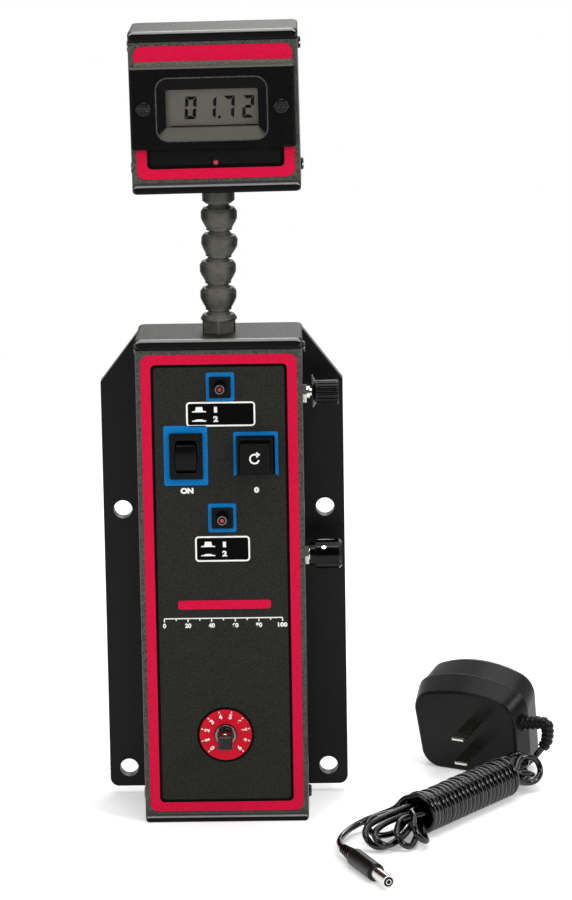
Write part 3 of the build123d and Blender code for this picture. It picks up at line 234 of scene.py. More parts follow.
@dataclass(frozen=True)
class Finish:
    """A solid finish: colour, mottling, grain, polish, edges lightened as wear and painted
    highlight, painted top light and side shade.
    """

    name: str
    colour: Triple
    roughness: float
    metallic: float = 0.0
    coat: float = 0.0
    gloss: float = 0.5
    mottle: float = 0.15
    mottle_size: float = 3.0
    polish: float = 0.06
    grain_size: float = 0.35
    grain_depth: float = 0.006
    edge_radius: float = 0.0
    # Edge lightening and its colour: wear on some finishes, a painted highlight on others.
    wear: float = 0.0
    wear_colour: Triple = (0.2, 0.2, 0.2)
    # Lighter colour for faces that look up: painted light, a painted highlight on trims and
    # bezel.
    upward: Triple | None = None
    # Share of the colour kept on faces that look sideways along x: painted shade.
    flank: float = 1.0

    MOTTLE_DETAIL = 3.0
    POLISH_SHARE = 0.6
    UPWARD_SLOPE = (0.25, 0.45)
    FLANK_SLOPE = (0.4, 0.8)
    EDGE_MATCH = (0.995, 0.8)
    WEAR_PATCHES = (0.4, 1.0)

    def scaled(self, factor: float) -> Triple:
        """The finish's colour, lighter or darker by a factor."""
        return tuple(min(value * factor, 1.0) for value in self.colour)

    def material(self) -> bpy.types.Material:
        """Makes the node material, or returns the one made before.

        Returns:
            The material.
        """
        made = bpy.data.materials.get(self.name)
        if made:
            return made
        made = bpy.data.materials.new(self.name)
        sheet = NodeSheet(made)
        patches = sheet.noise(self.mottle_size, self.MOTTLE_DETAIL)
        colour = sheet.blend(sheet.ranged(patches, 0.0, 1.0), self.scaled(1 - self.mottle),
                             self.scaled(1 + self.mottle))
        bump = sheet.add("Bump", Height=sheet.noise(self.grain_size),
                         Distance=self.grain_depth * MM, Strength=1.0)
        if self.edge_radius:
            rounding = sheet.add("Bevel", {"samples": 4}, Radius=self.edge_radius * MM)
            sheet.feed(bump.inputs["Normal"], rounding.outputs["Normal"])
            # Lightened edges: wear on some finishes, a painted highlight on others.
            if self.wear:
                colour = self.worn(sheet, rounding.outputs["Normal"], colour, patches)
        # Painted light: faces that look up turn to a lighter colour.
        if self.upward:
            rise = sheet.spread(sheet.facing("Z"), *self.UPWARD_SLOPE)
            colour = sheet.blend(rise, colour, self.upward)
        # Painted shade: faces that look sideways along x darken.
        if self.flank < 1:
            side = sheet.reckon("ABSOLUTE", sheet.facing("X"), 0.0)
            colour = sheet.blend(sheet.spread(side, *self.FLANK_SLOPE), colour,
                                 self.scaled(self.flank))
        rough = sheet.ranged(sheet.noise(self.mottle_size * self.POLISH_SHARE),
                             self.roughness - self.polish, self.roughness + self.polish)
        shader = sheet.add("BsdfPrincipled", Metallic=self.metallic, Coat_Weight=self.coat,
                           Specular_IOR_Level=self.gloss, Base_Color=colour,
                           Roughness=rough, Normal=bump.outputs["Normal"])
        sheet.add("OutputMaterial", Surface=shader.outputs["BSDF"])
        return made

    def worn(self, sheet: NodeSheet, rounded_normal: Socket, colour: Socket,
             patches: Socket) -> Socket:
        """Lightens the colour where the rounded normal leaves the flat one: wear on some
        finishes, a painted highlight along the edges on others.

        Args:
            sheet: The material's node sheet.
            rounded_normal: Normal with the edges rounded.
            colour: The colour away from edges.
            patches: Noise that breaks the wear up.

        Returns:
            The colour socket with wear and painted edge highlight.
        """
        flat = sheet.add("NewGeometry").outputs["Normal"]
        match = sheet.pair(sheet.add("VectorMath", {"operation": "DOT_PRODUCT"}),
                           rounded_normal, flat)
        edge = sheet.spread(match.outputs["Value"], *self.EDGE_MATCH, 0.0, self.wear)
        share = sheet.reckon("MULTIPLY", edge, sheet.ranged(patches, *self.WEAR_PATCHES))
        return sheet.blend(share, colour, self.wear_colour)


@dataclass(frozen=True)
class ClearPane:
    """A thin clear pane that mirrors a little and lets the rest through."""

    name: str = "clear_window_pane"
    tint: Triple = (0.93, 0.95, 0.93)
    roughness: float = 0.06
    mirror_index: float = 1.18

    def material(self) -> bpy.types.Material:
        """Makes the pane's material.

        Returns:
            The material.
        """
        made = bpy.data.materials.new(self.name)
        sheet = NodeSheet(made)
        through = sheet.add("BsdfTransparent", Color=self.tint)
        mirror = sheet.add("BsdfGlossy", Roughness=self.roughness, Color=WHITE)
        share = sheet.add("Fresnel", IOR=self.mirror_index)
        pane = sheet.mix_shaders(share.outputs["Fac"], through.outputs["BSDF"],
                                 mirror.outputs["BSDF"])
        sheet.add("OutputMaterial", Surface=pane)
        return made


class Palette(Enum):
    """The tester's finishes."""

    # Its edges lighten to a bright line: a painted highlight.
    CASE = Finish("case_black_paint", srgb(32, 32, 30), 0.34, gloss=0.45, mottle=0.5,
                  mottle_size=1.0, grain_size=0.45, grain_depth=0.012, edge_radius=0.5, wear=0.9,
                  wear_colour=(0.32, 0.32, 0.31))
    # A lighter grey on the case's front face and round the meter's window: painted light.
    CASE_RIM = Finish("case_rim_painted_front_light", srgb(72, 72, 68), 0.5, gloss=0.15, mottle=0.7,
                      mottle_size=0.7, grain_size=0.45, grain_depth=0.02)
    CAP = Finish("cap_black_moulding", srgb(42, 41, 38), 0.5, gloss=0.1, mottle=0.6,
                 mottle_size=1.0, grain_size=0.6, grain_depth=0.03, edge_radius=0.3, wear=0.3,
                 wear_colour=(0.12, 0.12, 0.11))
    # Painted highlights: a light band on faces that look up and a light line on the edges.
    TRIM = Finish("trim_gloss_black", srgb(5, 5, 6), 0.16, gloss=0.12, mottle=0.1,
                  grain_size=1.2, grain_depth=0.004, edge_radius=0.3, wear=0.5,
                  wear_colour=(0.2, 0.2, 0.19), upward=(0.24, 0.24, 0.23))
    OVERLAY = Finish("overlay_charcoal", srgb(43, 43, 41), 0.6, gloss=0.08, mottle=0.6,
                     mottle_size=0.55, grain_size=0.5, grain_depth=0.02)
    # A darker field for the head's U: a painted shadow.
    OVERLAY_FOOT = Finish("overlay_painted_shadow", srgb(26, 26, 25), 0.6, gloss=0.05, mottle=0.6,
                          mottle_size=0.55, grain_size=0.5, grain_depth=0.02)
    PLATE = Finish("plate_black_enamel", srgb(20, 20, 20), 0.42, gloss=0.18, mottle=0.6,
                   mottle_size=1.0, grain_size=0.8, grain_depth=0.014, edge_radius=0.35,
                   wear=0.4, wear_colour=(0.08, 0.08, 0.08))
    # Its light edges are partly wear and partly a painted highlight.
    SCREW = Finish("screw_black_oxide", srgb(44, 44, 46), 0.2, metallic=0.95, mottle=0.3,
                   mottle_size=1.0, edge_radius=0.25, wear=0.6, wear_colour=(0.4, 0.4, 0.4))
    STEEL = Finish("drive_steel", srgb(120, 120, 118), 0.26, metallic=1.0, mottle_size=1.0,
                   grain_size=0.25, grain_depth=0.004, edge_radius=0.12)
    # Its light edges are partly wear and partly a painted highlight.
    BLUED_STEEL = Finish("drive_blued_steel", srgb(26, 25, 25), 0.3, metallic=0.5, mottle=0.3,
                         mottle_size=0.8, edge_radius=0.3, wear=0.7,
                         wear_colour=(0.22, 0.22, 0.21))
    NICKEL = Finish("plated_nickel", srgb(214, 213, 207), 0.14, metallic=1.0, mottle=0.06,
                    mottle_size=1.2, grain_depth=0.002, edge_radius=0.1)
    SWITCH = Finish("switch_black_plastic", srgb(12, 12, 12), 0.3, gloss=0.12, mottle=0.2,
                    mottle_size=1.0, grain_size=0.5, grain_depth=0.008, edge_radius=0.3,
                    wear=0.5, wear_colour=(0.09, 0.088, 0.08))
    # Its edges lighten to bright lines: a painted highlight.
    KNOB = Finish("knob_black_plastic", srgb(6, 6, 6), 0.16, gloss=0.2, grain_depth=0.004,
                  edge_radius=0.2, wear=0.6, wear_colour=(0.25, 0.25, 0.25))
    # A lit grey with painted shade on faces that look sideways and painted highlights on the
    # rims' edges.
    NECK = Finish("neck_black_acetal", srgb(92, 91, 86), 0.45, gloss=0.08, mottle=0.16,
                  mottle_size=2.2, grain_size=1.4, grain_depth=0.008, edge_radius=0.45,
                  wear=1.0, wear_colour=(0.3, 0.295, 0.28), flank=0.08)
    # Painted highlight: faces that look up and the edges are lighter.
    BEZEL = Finish("meter_bezel_black", srgb(18, 18, 19), 0.34, gloss=0.06, mottle=0.5,
                   mottle_size=0.9, grain_size=0.5, grain_depth=0.008, edge_radius=0.3,
                   wear=0.5, wear_colour=(0.07, 0.07, 0.066), upward=(0.095, 0.093, 0.08))
    DISPLAY = Finish("display_grey_glass", srgb(152, 143, 138), 0.4, gloss=0.1, mottle=0.05,
                     mottle_size=5.0, polish=0.03, grain_depth=0.001)
    DIGIT = Finish("display_dark_segment", srgb(10, 10, 12), 0.5, gloss=0.05, mottle=0.05,
                   grain_depth=0.001)
    RED_INK = Finish("ink_red", srgb(207, 24, 63), 0.5, gloss=0.06, mottle=0.14,
                     mottle_size=0.6, grain_size=0.5, grain_depth=0.012)
    BLUE_INK = Finish("ink_blue", srgb(18, 114, 182), 0.5, gloss=0.06, mottle=0.16,
                      mottle_size=0.9, grain_size=0.5, grain_depth=0.01)
    WHITE_INK = Finish("ink_white", srgb(244, 244, 240), 0.5, gloss=0.1, mottle=0.03,
                       grain_size=0.5)
    # A light grey for the strip under the head's red panel: a painted highlight of the bezel's
    # top edge.
    GREY_INK = Finish("painted_highlight_grey", srgb(104, 102, 96), 0.5, gloss=0.1, mottle=0.5,
                      mottle_size=0.8, grain_size=0.5, grain_depth=0.01)
    BLACK_INK = Finish("ink_black", srgb(10, 10, 10), 0.5, gloss=0.05, mottle=0.2,
                       grain_size=0.5, grain_depth=0.01)
    RED_ENAMEL = Finish("disc_red_enamel", srgb(206, 20, 44), 0.4, gloss=0.12, mottle=0.08,
                        mottle_size=0.7, edge_radius=0.1)
    RED_LENS = Finish("lamp_red_lens", srgb(176, 16, 40), 0.12, coat=0.5, mottle=0.2,
                      mottle_size=0.8, grain_depth=0.001)
    # Its lighter edges are a painted highlight along the shell's edges.
    ADAPTOR = Finish("adaptor_black_shell", srgb(24, 24, 23), 0.32, gloss=0.16, mottle=0.6,
                     mottle_size=0.9, grain_size=0.45, grain_depth=0.016, edge_radius=0.5,
                     wear=0.5, wear_colour=(0.12, 0.12, 0.115))
    RUBBER = Finish("relief_black_rubber", srgb(13, 13, 13), 0.34, gloss=0.22, mottle=0.3,
                    grain_depth=0.008, edge_radius=0.15)
    CORD = Finish("cord_black_vinyl", srgb(5, 5, 5), 0.1, mottle_size=5.0, polish=0.03,
                  grain_size=1.2, grain_depth=0.003)
    BOARD = Finish("board_green_laminate", srgb(24, 78, 44), 0.4, mottle=0.25, mottle_size=4.0,
                   grain_size=1.0, grain_depth=0.02)
    BRASS = Finish("post_brass", srgb(184, 150, 84), 0.3, metallic=1.0, mottle=0.1,
                   edge_radius=0.15)
    WINDOW = ClearPane()

    def material(self) -> bpy.types.Material:
        """The finish's node material."""
        return self.value.material()


NODE_FINISHES: dict[Palette, tuple[str, ...]] = {
    Palette.CASE: ("base_shell", "head_shell"),
    Palette.CAP: ("base_top_cap", "base_foot_cap", "head_top_cap", "head_foot_cap"),
    Palette.TRIM: ("base_trims", "head_trims"),
    Palette.OVERLAY: ("base_overlay", "head_overlay"),
    Palette.PLATE: ("mounting_plate",),
    Palette.SCREW: ("base_cap_screws", "head_cap_screws", "meter_screws", "plate_screws",
                    "plate_nuts", "transducer_screws"),
    Palette.STEEL: ("torque_transducer",),
    Palette.BLUED_STEEL: ("drive_square",),
    Palette.NICKEL: ("detent_ball", "panel_nuts", "pots", "upper_pot_shaft", "lower_pot_shaft",
                     "knob_set_screw", "adaptor_blades", "dc_plug_barrel"),
    Palette.RED_ENAMEL: ("drive_disc",),
    Palette.SWITCH: ("rocker_bezel", "power_rocker", "reset_bezel", "reset_key",
                     "button_bezels", "upper_button", "lower_button", "dc_jack"),
    Palette.KNOB: ("upper_knob", "lower_knob"),
    Palette.NECK: ("neck_base_connector", "neck_base_nut", "neck_segment_1", "neck_segment_2",
                   "neck_segment_3", "neck_segment_4", "head_collar", "head_collar_nut"),
    Palette.BEZEL: ("meter_bezel",),
    Palette.DISPLAY: ("lcd_glass",),
    Palette.WINDOW: ("meter_window",),
    Palette.RED_LENS: ("indicator_lamp",),
    Palette.ADAPTOR: ("adaptor_front", "adaptor_back"),
    Palette.RUBBER: ("adaptor_strain_relief", "dc_plug"),
    Palette.CORD: ("cord_lead", "cord_hank", "cord_tail"),
    Palette.BOARD: ("main_board", "meter_board"),
    Palette.BRASS: ("board_posts",),
}


def link(piece: Piece) -> None:
    """Puts an object in the scene."""
    bpy.context.scene.collection.objects.link(piece)


def wear_finish(piece: Piece, finish: Palette) -> None:
    """Gives every face of a piece one finish."""
    piece.data.materials.clear()
    piece.data.materials.append(finish.material())


def place(piece: Piece, body: str, finish: Palette) -> Piece:
    """Links a piece, rides it on its body and dresses it.

    Args:
        piece: The new object.
        body: The CAD body that it moves with.
        finish: Its finish.

    Returns:
        The piece.
    """
    link(piece)
    wear_finish(piece, finish)
    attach(piece, body)
    log.info("%s rides on %s in %s", piece.name, body, finish.value.name)
    return piece


def rounded(box: Box, radius: float, inset: float = 0.0) -> Outline:
    """Outline of a rectangle with round corners.

    Args:
        box: Its least x and height, then its greatest x and height.
        radius: Corner radius.
        inset: How far inside the box it runs.

    Returns:
        The points, counterclockwise from the right end of the top right corner.
    """
    left, foot, right, top = box[0] + inset, box[1] + inset, box[2] - inset, box[3] - inset
    corners = ((right - radius, top - radius), (left + radius, top - radius),
               (left + radius, foot + radius), (right - radius, foot + radius))
    points: Outline = []
    for quarter, (x, z) in enumerate(corners):
        for step in range(CORNER_STEPS + 1):
            angle = pi / 2 * (quarter + step / CORNER_STEPS)
            points.append((x + radius * cos(angle), z + radius * sin(angle)))
    return points


def bar(left: float, foot: float, right: float, top: float) -> Outline:
    """Outline of a plain rectangle."""
    return [(left, foot), (right, foot), (right, top), (left, top)]


def below(outline: Outline, top: float) -> Outline:
    """Presses an outline down under a height."""
    return [(x, min(z, top)) for x, z in outline]


def circle(radius: float, steps: int = 64, height: float = 0.0) -> Outline:
    """Outline of a circle round the face's middle, or above it by a height."""
    turns = [2 * pi * step / steps for step in range(steps)]
    return [(radius * cos(turn), height + radius * sin(turn)) for turn in turns]


def turned_tube(name: str, centres: list[Vector], profile: Outline,
                hollow: bool = False) -> Piece:
    """Closed round mesh whose radius follows a profile along a line.

    Args:
        name: Its name.
        centres: Points down its middle, in metres.
        profile: Share of the way along and radius in millimetres, in order.
        hollow: Whether the profile closes on itself round a bore.

    Returns:
        The object, not yet linked.
    """
    lengths = [0.0]
    for before, after in zip(centres, centres[1:]):
        lengths.append(lengths[-1] + (after - before).length)

    def along(share: float) -> tuple[Vector, Vector]:
        """Finds a share of the way along the line.

        Args:
            share: The share of its length.

        Returns:
            The place there and the line's direction.
        """
        wanted = share * lengths[-1]
        index = next(k for k in range(1, len(lengths)) if lengths[k] >= wanted - 1e-9)
        part = (wanted - lengths[index - 1]) / (lengths[index] - lengths[index - 1])
        last = len(centres) - 1
        ahead = centres[min(index + 1, last)] - centres[max(index - 2, 0)]
        return centres[index - 1].lerp(centres[index], part), ahead.normalized()

    mesh = bmesh.new()
    turns = [2 * pi * k / TUBE_SIDES for k in range(TUBE_SIDES)]
    rings = []
    for share, radius in profile:
        centre, ahead = along(share)
        side = Vector((ahead.y, -ahead.x, 0)).normalized() if hollow else Vector((0, 1, 0))
        up = ahead.cross(side).normalized()
        side = up.cross(ahead)
        rings.append([mesh.verts.new(centre + (side * cos(turn) + up * sin(turn)) * radius * MM)
                      for turn in turns])
    pairs = list(zip(rings, rings[1:]))
    if hollow:
        pairs.append((rings[-1], rings[0]))
    else:
        mesh.faces.new(rings[0])
        mesh.faces.new(rings[-1])
    for first, second in pairs:
        for k in range(TUBE_SIDES):
            after = (k + 1) % TUBE_SIDES
            mesh.faces.new((first[k], first[after], second[after], second[k])).smooth = True
    data = closed_mesh(name, mesh)
    data.set_sharp_from_angle(angle=TUBE_CREASE)
    return bpy.data.objects.new(name, data)


def closed_mesh(name: str, mesh: bmesh.types.BMesh) -> bpy.types.Mesh:
    """Turns a closed shape's faces outwards and keeps it as mesh data.

    Args:
        name: Name of the data.
        mesh: The shape, which is freed.

    Returns:
        The mesh data.
    """
    bmesh.ops.recalc_face_normals(mesh, faces=mesh.faces)
    data = bpy.data.meshes.new(name)
    mesh.to_mesh(data)
    mesh.free()
    return data


@dataclass(frozen=True)
class Face:
    """A flat face that print lies on, with x across it and z up it."""

    x: float
    y: float
    z: float
    roll: float = 0.0

    def matrix(self) -> Matrix:
        """Turns outline places into the CAD's frame, with the outward side along -Y.

        Returns:
            The matrix, in metres.
        """
        tilt = radians(self.roll)
        across = Vector((cos(tilt), 0, -sin(tilt)))
        up = Vector((sin(tilt), 0, cos(tilt)))
        turned = Matrix((across, up, across.cross(up))).transposed().to_4x4()
        turned.translation = Vector((self.x, self.y, self.z)) * MM
        return turned


def head_face(y: float) -> Face:
    """A face of the head, which stands a little aside and leans."""
    return Face(0.759, y, 287.87, -0.64)


@dataclass(frozen=True)
class Film:
    """How thick a layer of print is, and how much of that lies in the face."""

    thickness: float = 0.08
    sink: float = 0.04


RIM_FILM = Film(0.06, 0.03)
THIN_FILM = Film(0.05, 0.03)
RIM_RADIUS = 0.6
OVERLAY_RADIUS = 3.9


class Stencil:
    """A thin layer of print cut from outlines and figures, made as one closed mesh."""

    WELD = 0.002 * MM

    def __init__(self, name: str, face: Face, film: Film = Film()) -> None:
        """Starts an empty layer.

        Args:
            name: Name of the piece.
            face: The face it lies on.
            film: How thick it is and how deep it lies.
        """
        self.name = name
        self.face = face
        self.film = film
        self.mesh = bmesh.new()

    def cut(self, *outlines: Outline) -> "Stencil":
        """Adds one shape.

        Args:
            outlines: Its outer outline, then any holes in it.

        Returns:
            The stencil.
        """
        curve = bpy.data.curves.new(self.name, "CURVE")
        curve.dimensions = "2D"
        curve.fill_mode = "BOTH"
        for outline in outlines:
            spline = curve.splines.new("POLY")
            spline.points.add(len(outline) - 1)
            for point, (x, z) in zip(spline.points, outline):
                point.co = (x * MM, z * MM, 0, 1)
            spline.use_cyclic_u = True
        return self.join(self.solid(curve))

    def write(self, figures: str, box: Box, bold: float = 0.045,
              turn: float = 0.0) -> "Stencil":
        """Adds plain figures, fitted to a box.

        Args:
            figures: The characters.
            box: The box's least x and height, then its width and height.
            bold: How far the strokes are thickened, as a share of the height.
            turn: Turn of the box about its centre, in degrees.

        Returns:
            The stencil.
        """
        left, foot, width, height = box
        curve = bpy.data.curves.new(self.name, "FONT")
        curve.body = figures
        curve.size = height * MM
        curve.offset = bold * height * MM
        shape = self.solid(curve)
        xs = [vertex.co.x for vertex in shape.verts]
        ys = [vertex.co.y for vertex in shape.verts]
        wide, tall = width * MM / (max(xs) - min(xs)), height * MM / (max(ys) - min(ys))
        centre = Vector(((max(xs) + min(xs)) / 2, (max(ys) + min(ys)) / 2, 0))
        middle = Vector((left + width / 2, foot + height / 2, 0)) * MM
        shape.transform(Matrix.Translation(middle) @ Matrix.Rotation(radians(turn), 4, "Z")
                        @ Matrix.Diagonal((wide, tall, 1, 1)) @ Matrix.Translation(-centre))
        return self.join(shape)

    def solid(self, curve: bpy.types.Curve) -> bmesh.types.BMesh:
        """Fills a flat curve and gives it the film's thickness.

        Args:
            curve: The curve or text.

        Returns:
            The closed mesh.
        """
        curve.extrude = self.film.thickness * MM / 2
        shape = bmesh.new()
        shape.from_mesh(shape_of(curve))
        bmesh.ops.remove_doubles(shape, verts=shape.verts, dist=self.WELD)
        return shape

    def join(self, shape: bmesh.types.BMesh) -> "Stencil":
        """Copies a shape into the layer and frees it.

        Args:
            shape: The shape.

        Returns:
            The stencil.
        """
        loose = bpy.data.meshes.new("stencil_part")
        shape.to_mesh(loose)
        shape.free()
        self.mesh.from_mesh(loose)
        bpy.data.meshes.remove(loose)
        return self

    def print_on(self, finish: Palette, body: str = "base",
                 slot: str = "printed_panel") -> Piece:
        """Makes the layer a piece that moves with a body.

        Args:
            finish: Its finish.
            body: The CAD body.
            slot: Not used.

        Returns:
            The piece.
        """
        lift = Matrix.Translation((0, 0, (self.film.thickness / 2 - self.film.sink) * MM))
        self.mesh.transform(self.face.matrix() @ lift)
        piece = bpy.data.objects.new(self.name, closed_mesh(self.name, self.mesh))
        return place(piece, body, finish)


def shape_of(curve: bpy.types.Curve) -> bpy.types.Mesh:
    """Reads the mesh that a curve makes.

    Args:
        curve: The curve's data.

    Returns:
        The mesh data.
    """
    holder = bpy.data.objects.new("curve_holder", curve)
    link(holder)
    graph = bpy.context.evaluated_depsgraph_get()
    mesh = bpy.data.meshes.new_from_object(holder.evaluated_get(graph))
    bpy.data.objects.remove(holder)
    return mesh


def print_rim(body: str, face: Face, rim: Box, overlay: Box) -> None:
    """Prints a lighter grey between the edge of a case and its overlay: painted light on the
    case's front face.

    Args:
        body: Name of the case's body.
        face: The case's face.
        rim: The case's outline.
        overlay: The overlay's outline.
    """
    Stencil(f"{body}_case_rim", face, RIM_FILM).cut(
        rounded(rim, RIM_RADIUS), rounded(overlay, OVERLAY_RADIUS)).print_on(
        Palette.CASE_RIM, body, "black_aluminium")


@dataclass
class BasePrint:
    """The print on the tall box's overlay.

    The figures one and two are placed from a legend's left edge and middle.
    """

    face: Face = Face(0.0, -19.9, 0.0)
    rim_face: Face = Face(0.0, -20.0, 0.0)
    rim: Box = (-36.7, 5.0, 36.7, 217.4)
    overlay: Box = (-34.7, 4.9, 34.7, 215.7)
    border: Box = (-34.65, 4.95, 34.65, 215.65)
    border_insets: Triple = (0.0, 4.35, 5.65)
    border_radii: Triple = (3.8, 2.2, 1.5)
    frames: tuple[tuple[Box, Box], ...] = (
        ((-5.7, 194.5, 6.8, 207.5), (-4.4, 195.9, 5.2, 205.6)),
        ((-5.9, 134.8, 6.6, 147.9), (-4.4, 136.4, 5.2, 146.1)),
        ((-25.1, 156.4, -5.6, 183.6), (-22.4, 159.5, -8.0, 180.1)))
    frame_radii: Pair = (0.9, 0.4)
    reset_frame: Box = (5.9, 160.4, 25.8, 180.5)
    reset_hole: Box = (7.2, 161.2, 24.4, 178.7)
    reset_leg: float = 5.0
    field_inset: float = 0.6
    field_radius: float = 1.0
    legends: tuple[Box, ...] = ((-14.8, 183.1, 15.9, 194.3), (-12.0, 121.3, 12.5, 133.0))
    legend_line: float = 0.75
    legend_radius: float = 1.7
    legend_bold: float = 0.05
    one: Box = (12.4, 0.7, 1.4, 2.6)
    two: Box = (12.0, -3.5, 2.2, 2.6)
    on_word: Box = (-18.0, 152.6, 5.8, 2.7)
    zero: Box = (14.8, 152.6, 2.2, 2.7)
    word_bold: float = 0.07
    sign_left: float = 2.7
    sign_width: float = 6.2
    signs: Points = ((0.9, 2.4), (-3.3, 1.0))
    sign_flank: Points = ((0.0, 0.0), (0.0, 0.45), (1.3, 0.6))
    sign_step: float = 1.7
    band: Box = (-20.1, 99.4, 21.4, 103.4)
    band_radius: float = 1.2
    scale_line: Box = (-26.5, 94.9, 26.5, 95.4)
    scale_steps: int = 10
    tick_half: float = 0.25
    tick_feet: Pair = (93.5, 94.1)
    tick_top: float = 95.0
    scale_figure: Triple = (90.8, 1.4, 2.1)

    def build(self) -> None:
        """Prints the rim, the border, the frames, the legends and the scale."""
        print_rim("base", self.rim_face, self.rim, self.overlay)
        self.print_border()
        self.print_frames()
        self.print_white()
        self.print_band()

    def print_border(self) -> None:
        """The red border round the overlay, and a black line of painted shade inside it."""
        outer, inner, line = (rounded(self.border, radius, inset)
                              for radius, inset in zip(self.border_radii, self.border_insets))
        Stencil("base_red_border", self.face).cut(outer, inner).print_on(Palette.RED_INK)
        # A black line of painted shade along the border's inner edge.
        Stencil("base_painted_shade_line", self.face).cut(inner, line).print_on(Palette.BLACK_INK)

    def print_frames(self) -> None:
        """The blue frames round the switches and buttons, and the black fields in them."""
        blue = Stencil("base_blue_frames", self.face)
        for frame in self.frames:
            blue.cut(*map(rounded, frame, self.frame_radii))
        left, foot, right, top = self.reset_frame
        hole_left, hole_foot, hole_right, hole_top = self.reset_hole
        arch = rounded((left, foot - self.reset_leg, right, top), self.frame_radii[0])
        blue.cut([*arch[:2 * (CORNER_STEPS + 1)], (left, foot), (hole_left, hole_foot),
                  (hole_left, hole_top), (hole_right, hole_top), (hole_right, hole_foot),
                  (right, foot)])
        blue.print_on(Palette.BLUE_INK)
        dark = Stencil("base_black_fields", self.face, THIN_FILM)
        (upper, _), (lower, _), _ = self.frames
        for field in (upper, lower, self.reset_frame, *self.legends):
            dark.cut(rounded(field, self.field_radius, self.field_inset))
        dark.print_on(Palette.BLACK_INK)

    def print_white(self) -> None:
        """The white legend boxes with button signs and plain figures."""
        white = Stencil("base_white_print", self.face)
        for legend in self.legends:
            left, middle = legend[0], (legend[1] + legend[3]) / 2
            white.cut(rounded(legend, self.legend_radius),
                      rounded(legend, self.legend_radius - self.legend_line, self.legend_line))
            for rise, height in self.signs:
                white.cut(self.sign(left + self.sign_left, middle + rise, height))
            for figure, (right, rise, *size) in (("1", self.one), ("2", self.two)):
                white.write(figure, (left + right, middle + rise, *size), self.legend_bold)
        white.write("ON", self.on_word, self.word_bold)
        white.write("0", self.zero, self.word_bold)
        white.print_on(Palette.WHITE_INK)

    def sign(self, left: float, foot: float, height: float) -> Outline:
        """The sign of a button that stands out or is pressed in.

        Args:
            left: Its least x.
            foot: Its least height.
            height: How far the button in it stands out.

        Returns:
            The outline.
        """
        flank = [*self.sign_flank, (self.sign_step, height)]
        near = [(left + x, foot + z) for x, z in flank]
        far = [(left + self.sign_width - x, foot + z) for x, z in flank]
        return near + far[::-1]

    def print_band(self) -> None:
        """A plain red band over a plain white scale."""
        Stencil("base_red_band", self.face).cut(
            rounded(self.band, self.band_radius)).print_on(Palette.RED_INK)
        scale = Stencil("base_white_scale", self.face)
        scale.cut(bar(*self.scale_line))
        pitch = (self.scale_line[2] - self.scale_line[0]) / self.scale_steps
        for tick in range(self.scale_steps + 1):
            x = self.scale_line[0] + pitch * tick
            short = tick % 2
            scale.cut(bar(x - self.tick_half, self.tick_feet[short], x + self.tick_half,
                          self.tick_top))
            if not short:
                figure = str(tick * 100 // self.scale_steps)
                foot, width, height = self.scale_figure
                wide = width * len(figure)
                scale.write(figure, (x - wide / 2, foot, wide, height))
        scale.print_on(Palette.WHITE_INK)


@dataclass
class DriveScale:
    """The plain scale on the red disc round the square drive."""

    x: float = 0.0
    z: float = 40.8
    scale_y: float = -20.2
    edge_y: float = -19.9
    edge_film: Film = Film(0.1, 0.05)
    edge_radii: Pair = (12.9, 11.75)
    figures: int = 10
    angles: Pair = (225.0, -45.0)
    figure_radius: float = 8.7
    figure_height: float = 2.3
    figure_share: float = 0.62
    one_share: float = 0.45
    tick: Box = (10.4, -0.2, 11.3, 0.2)

    def build(self) -> None:
        """Prints a black ring of painted shade round the disc, and ticks and the numbers 0 to 9
        round the drive.
        """
        outer, inner = self.edge_radii
        # A black ring of painted shade round the red disc.
        Stencil("disc_painted_shade_ring", Face(self.x, self.edge_y, self.z), self.edge_film).cut(
            circle(outer), circle(inner)).print_on(Palette.BLACK_INK)
        scale = Stencil("drive_scale", Face(self.x, self.scale_y, self.z))
        start, end = self.angles
        for figure in range(self.figures):
            turn = start + (end - start) * (figure / (self.figures - 1))
            out = Vector((cos(radians(turn)), sin(radians(turn))))
            side = Vector((-out.y, out.x))
            middle = out * self.figure_radius
            high = self.figure_height
            wide = high * (self.one_share if figure == 1 else self.figure_share)
            scale.write(str(figure), (middle.x - wide / 2, middle.y - high / 2, wide, high),
                        turn=turn - 90)
            scale.cut([tuple(out * along + side * across) for along, across in bar(*self.tick)])
        scale.print_on(Palette.WHITE_INK)


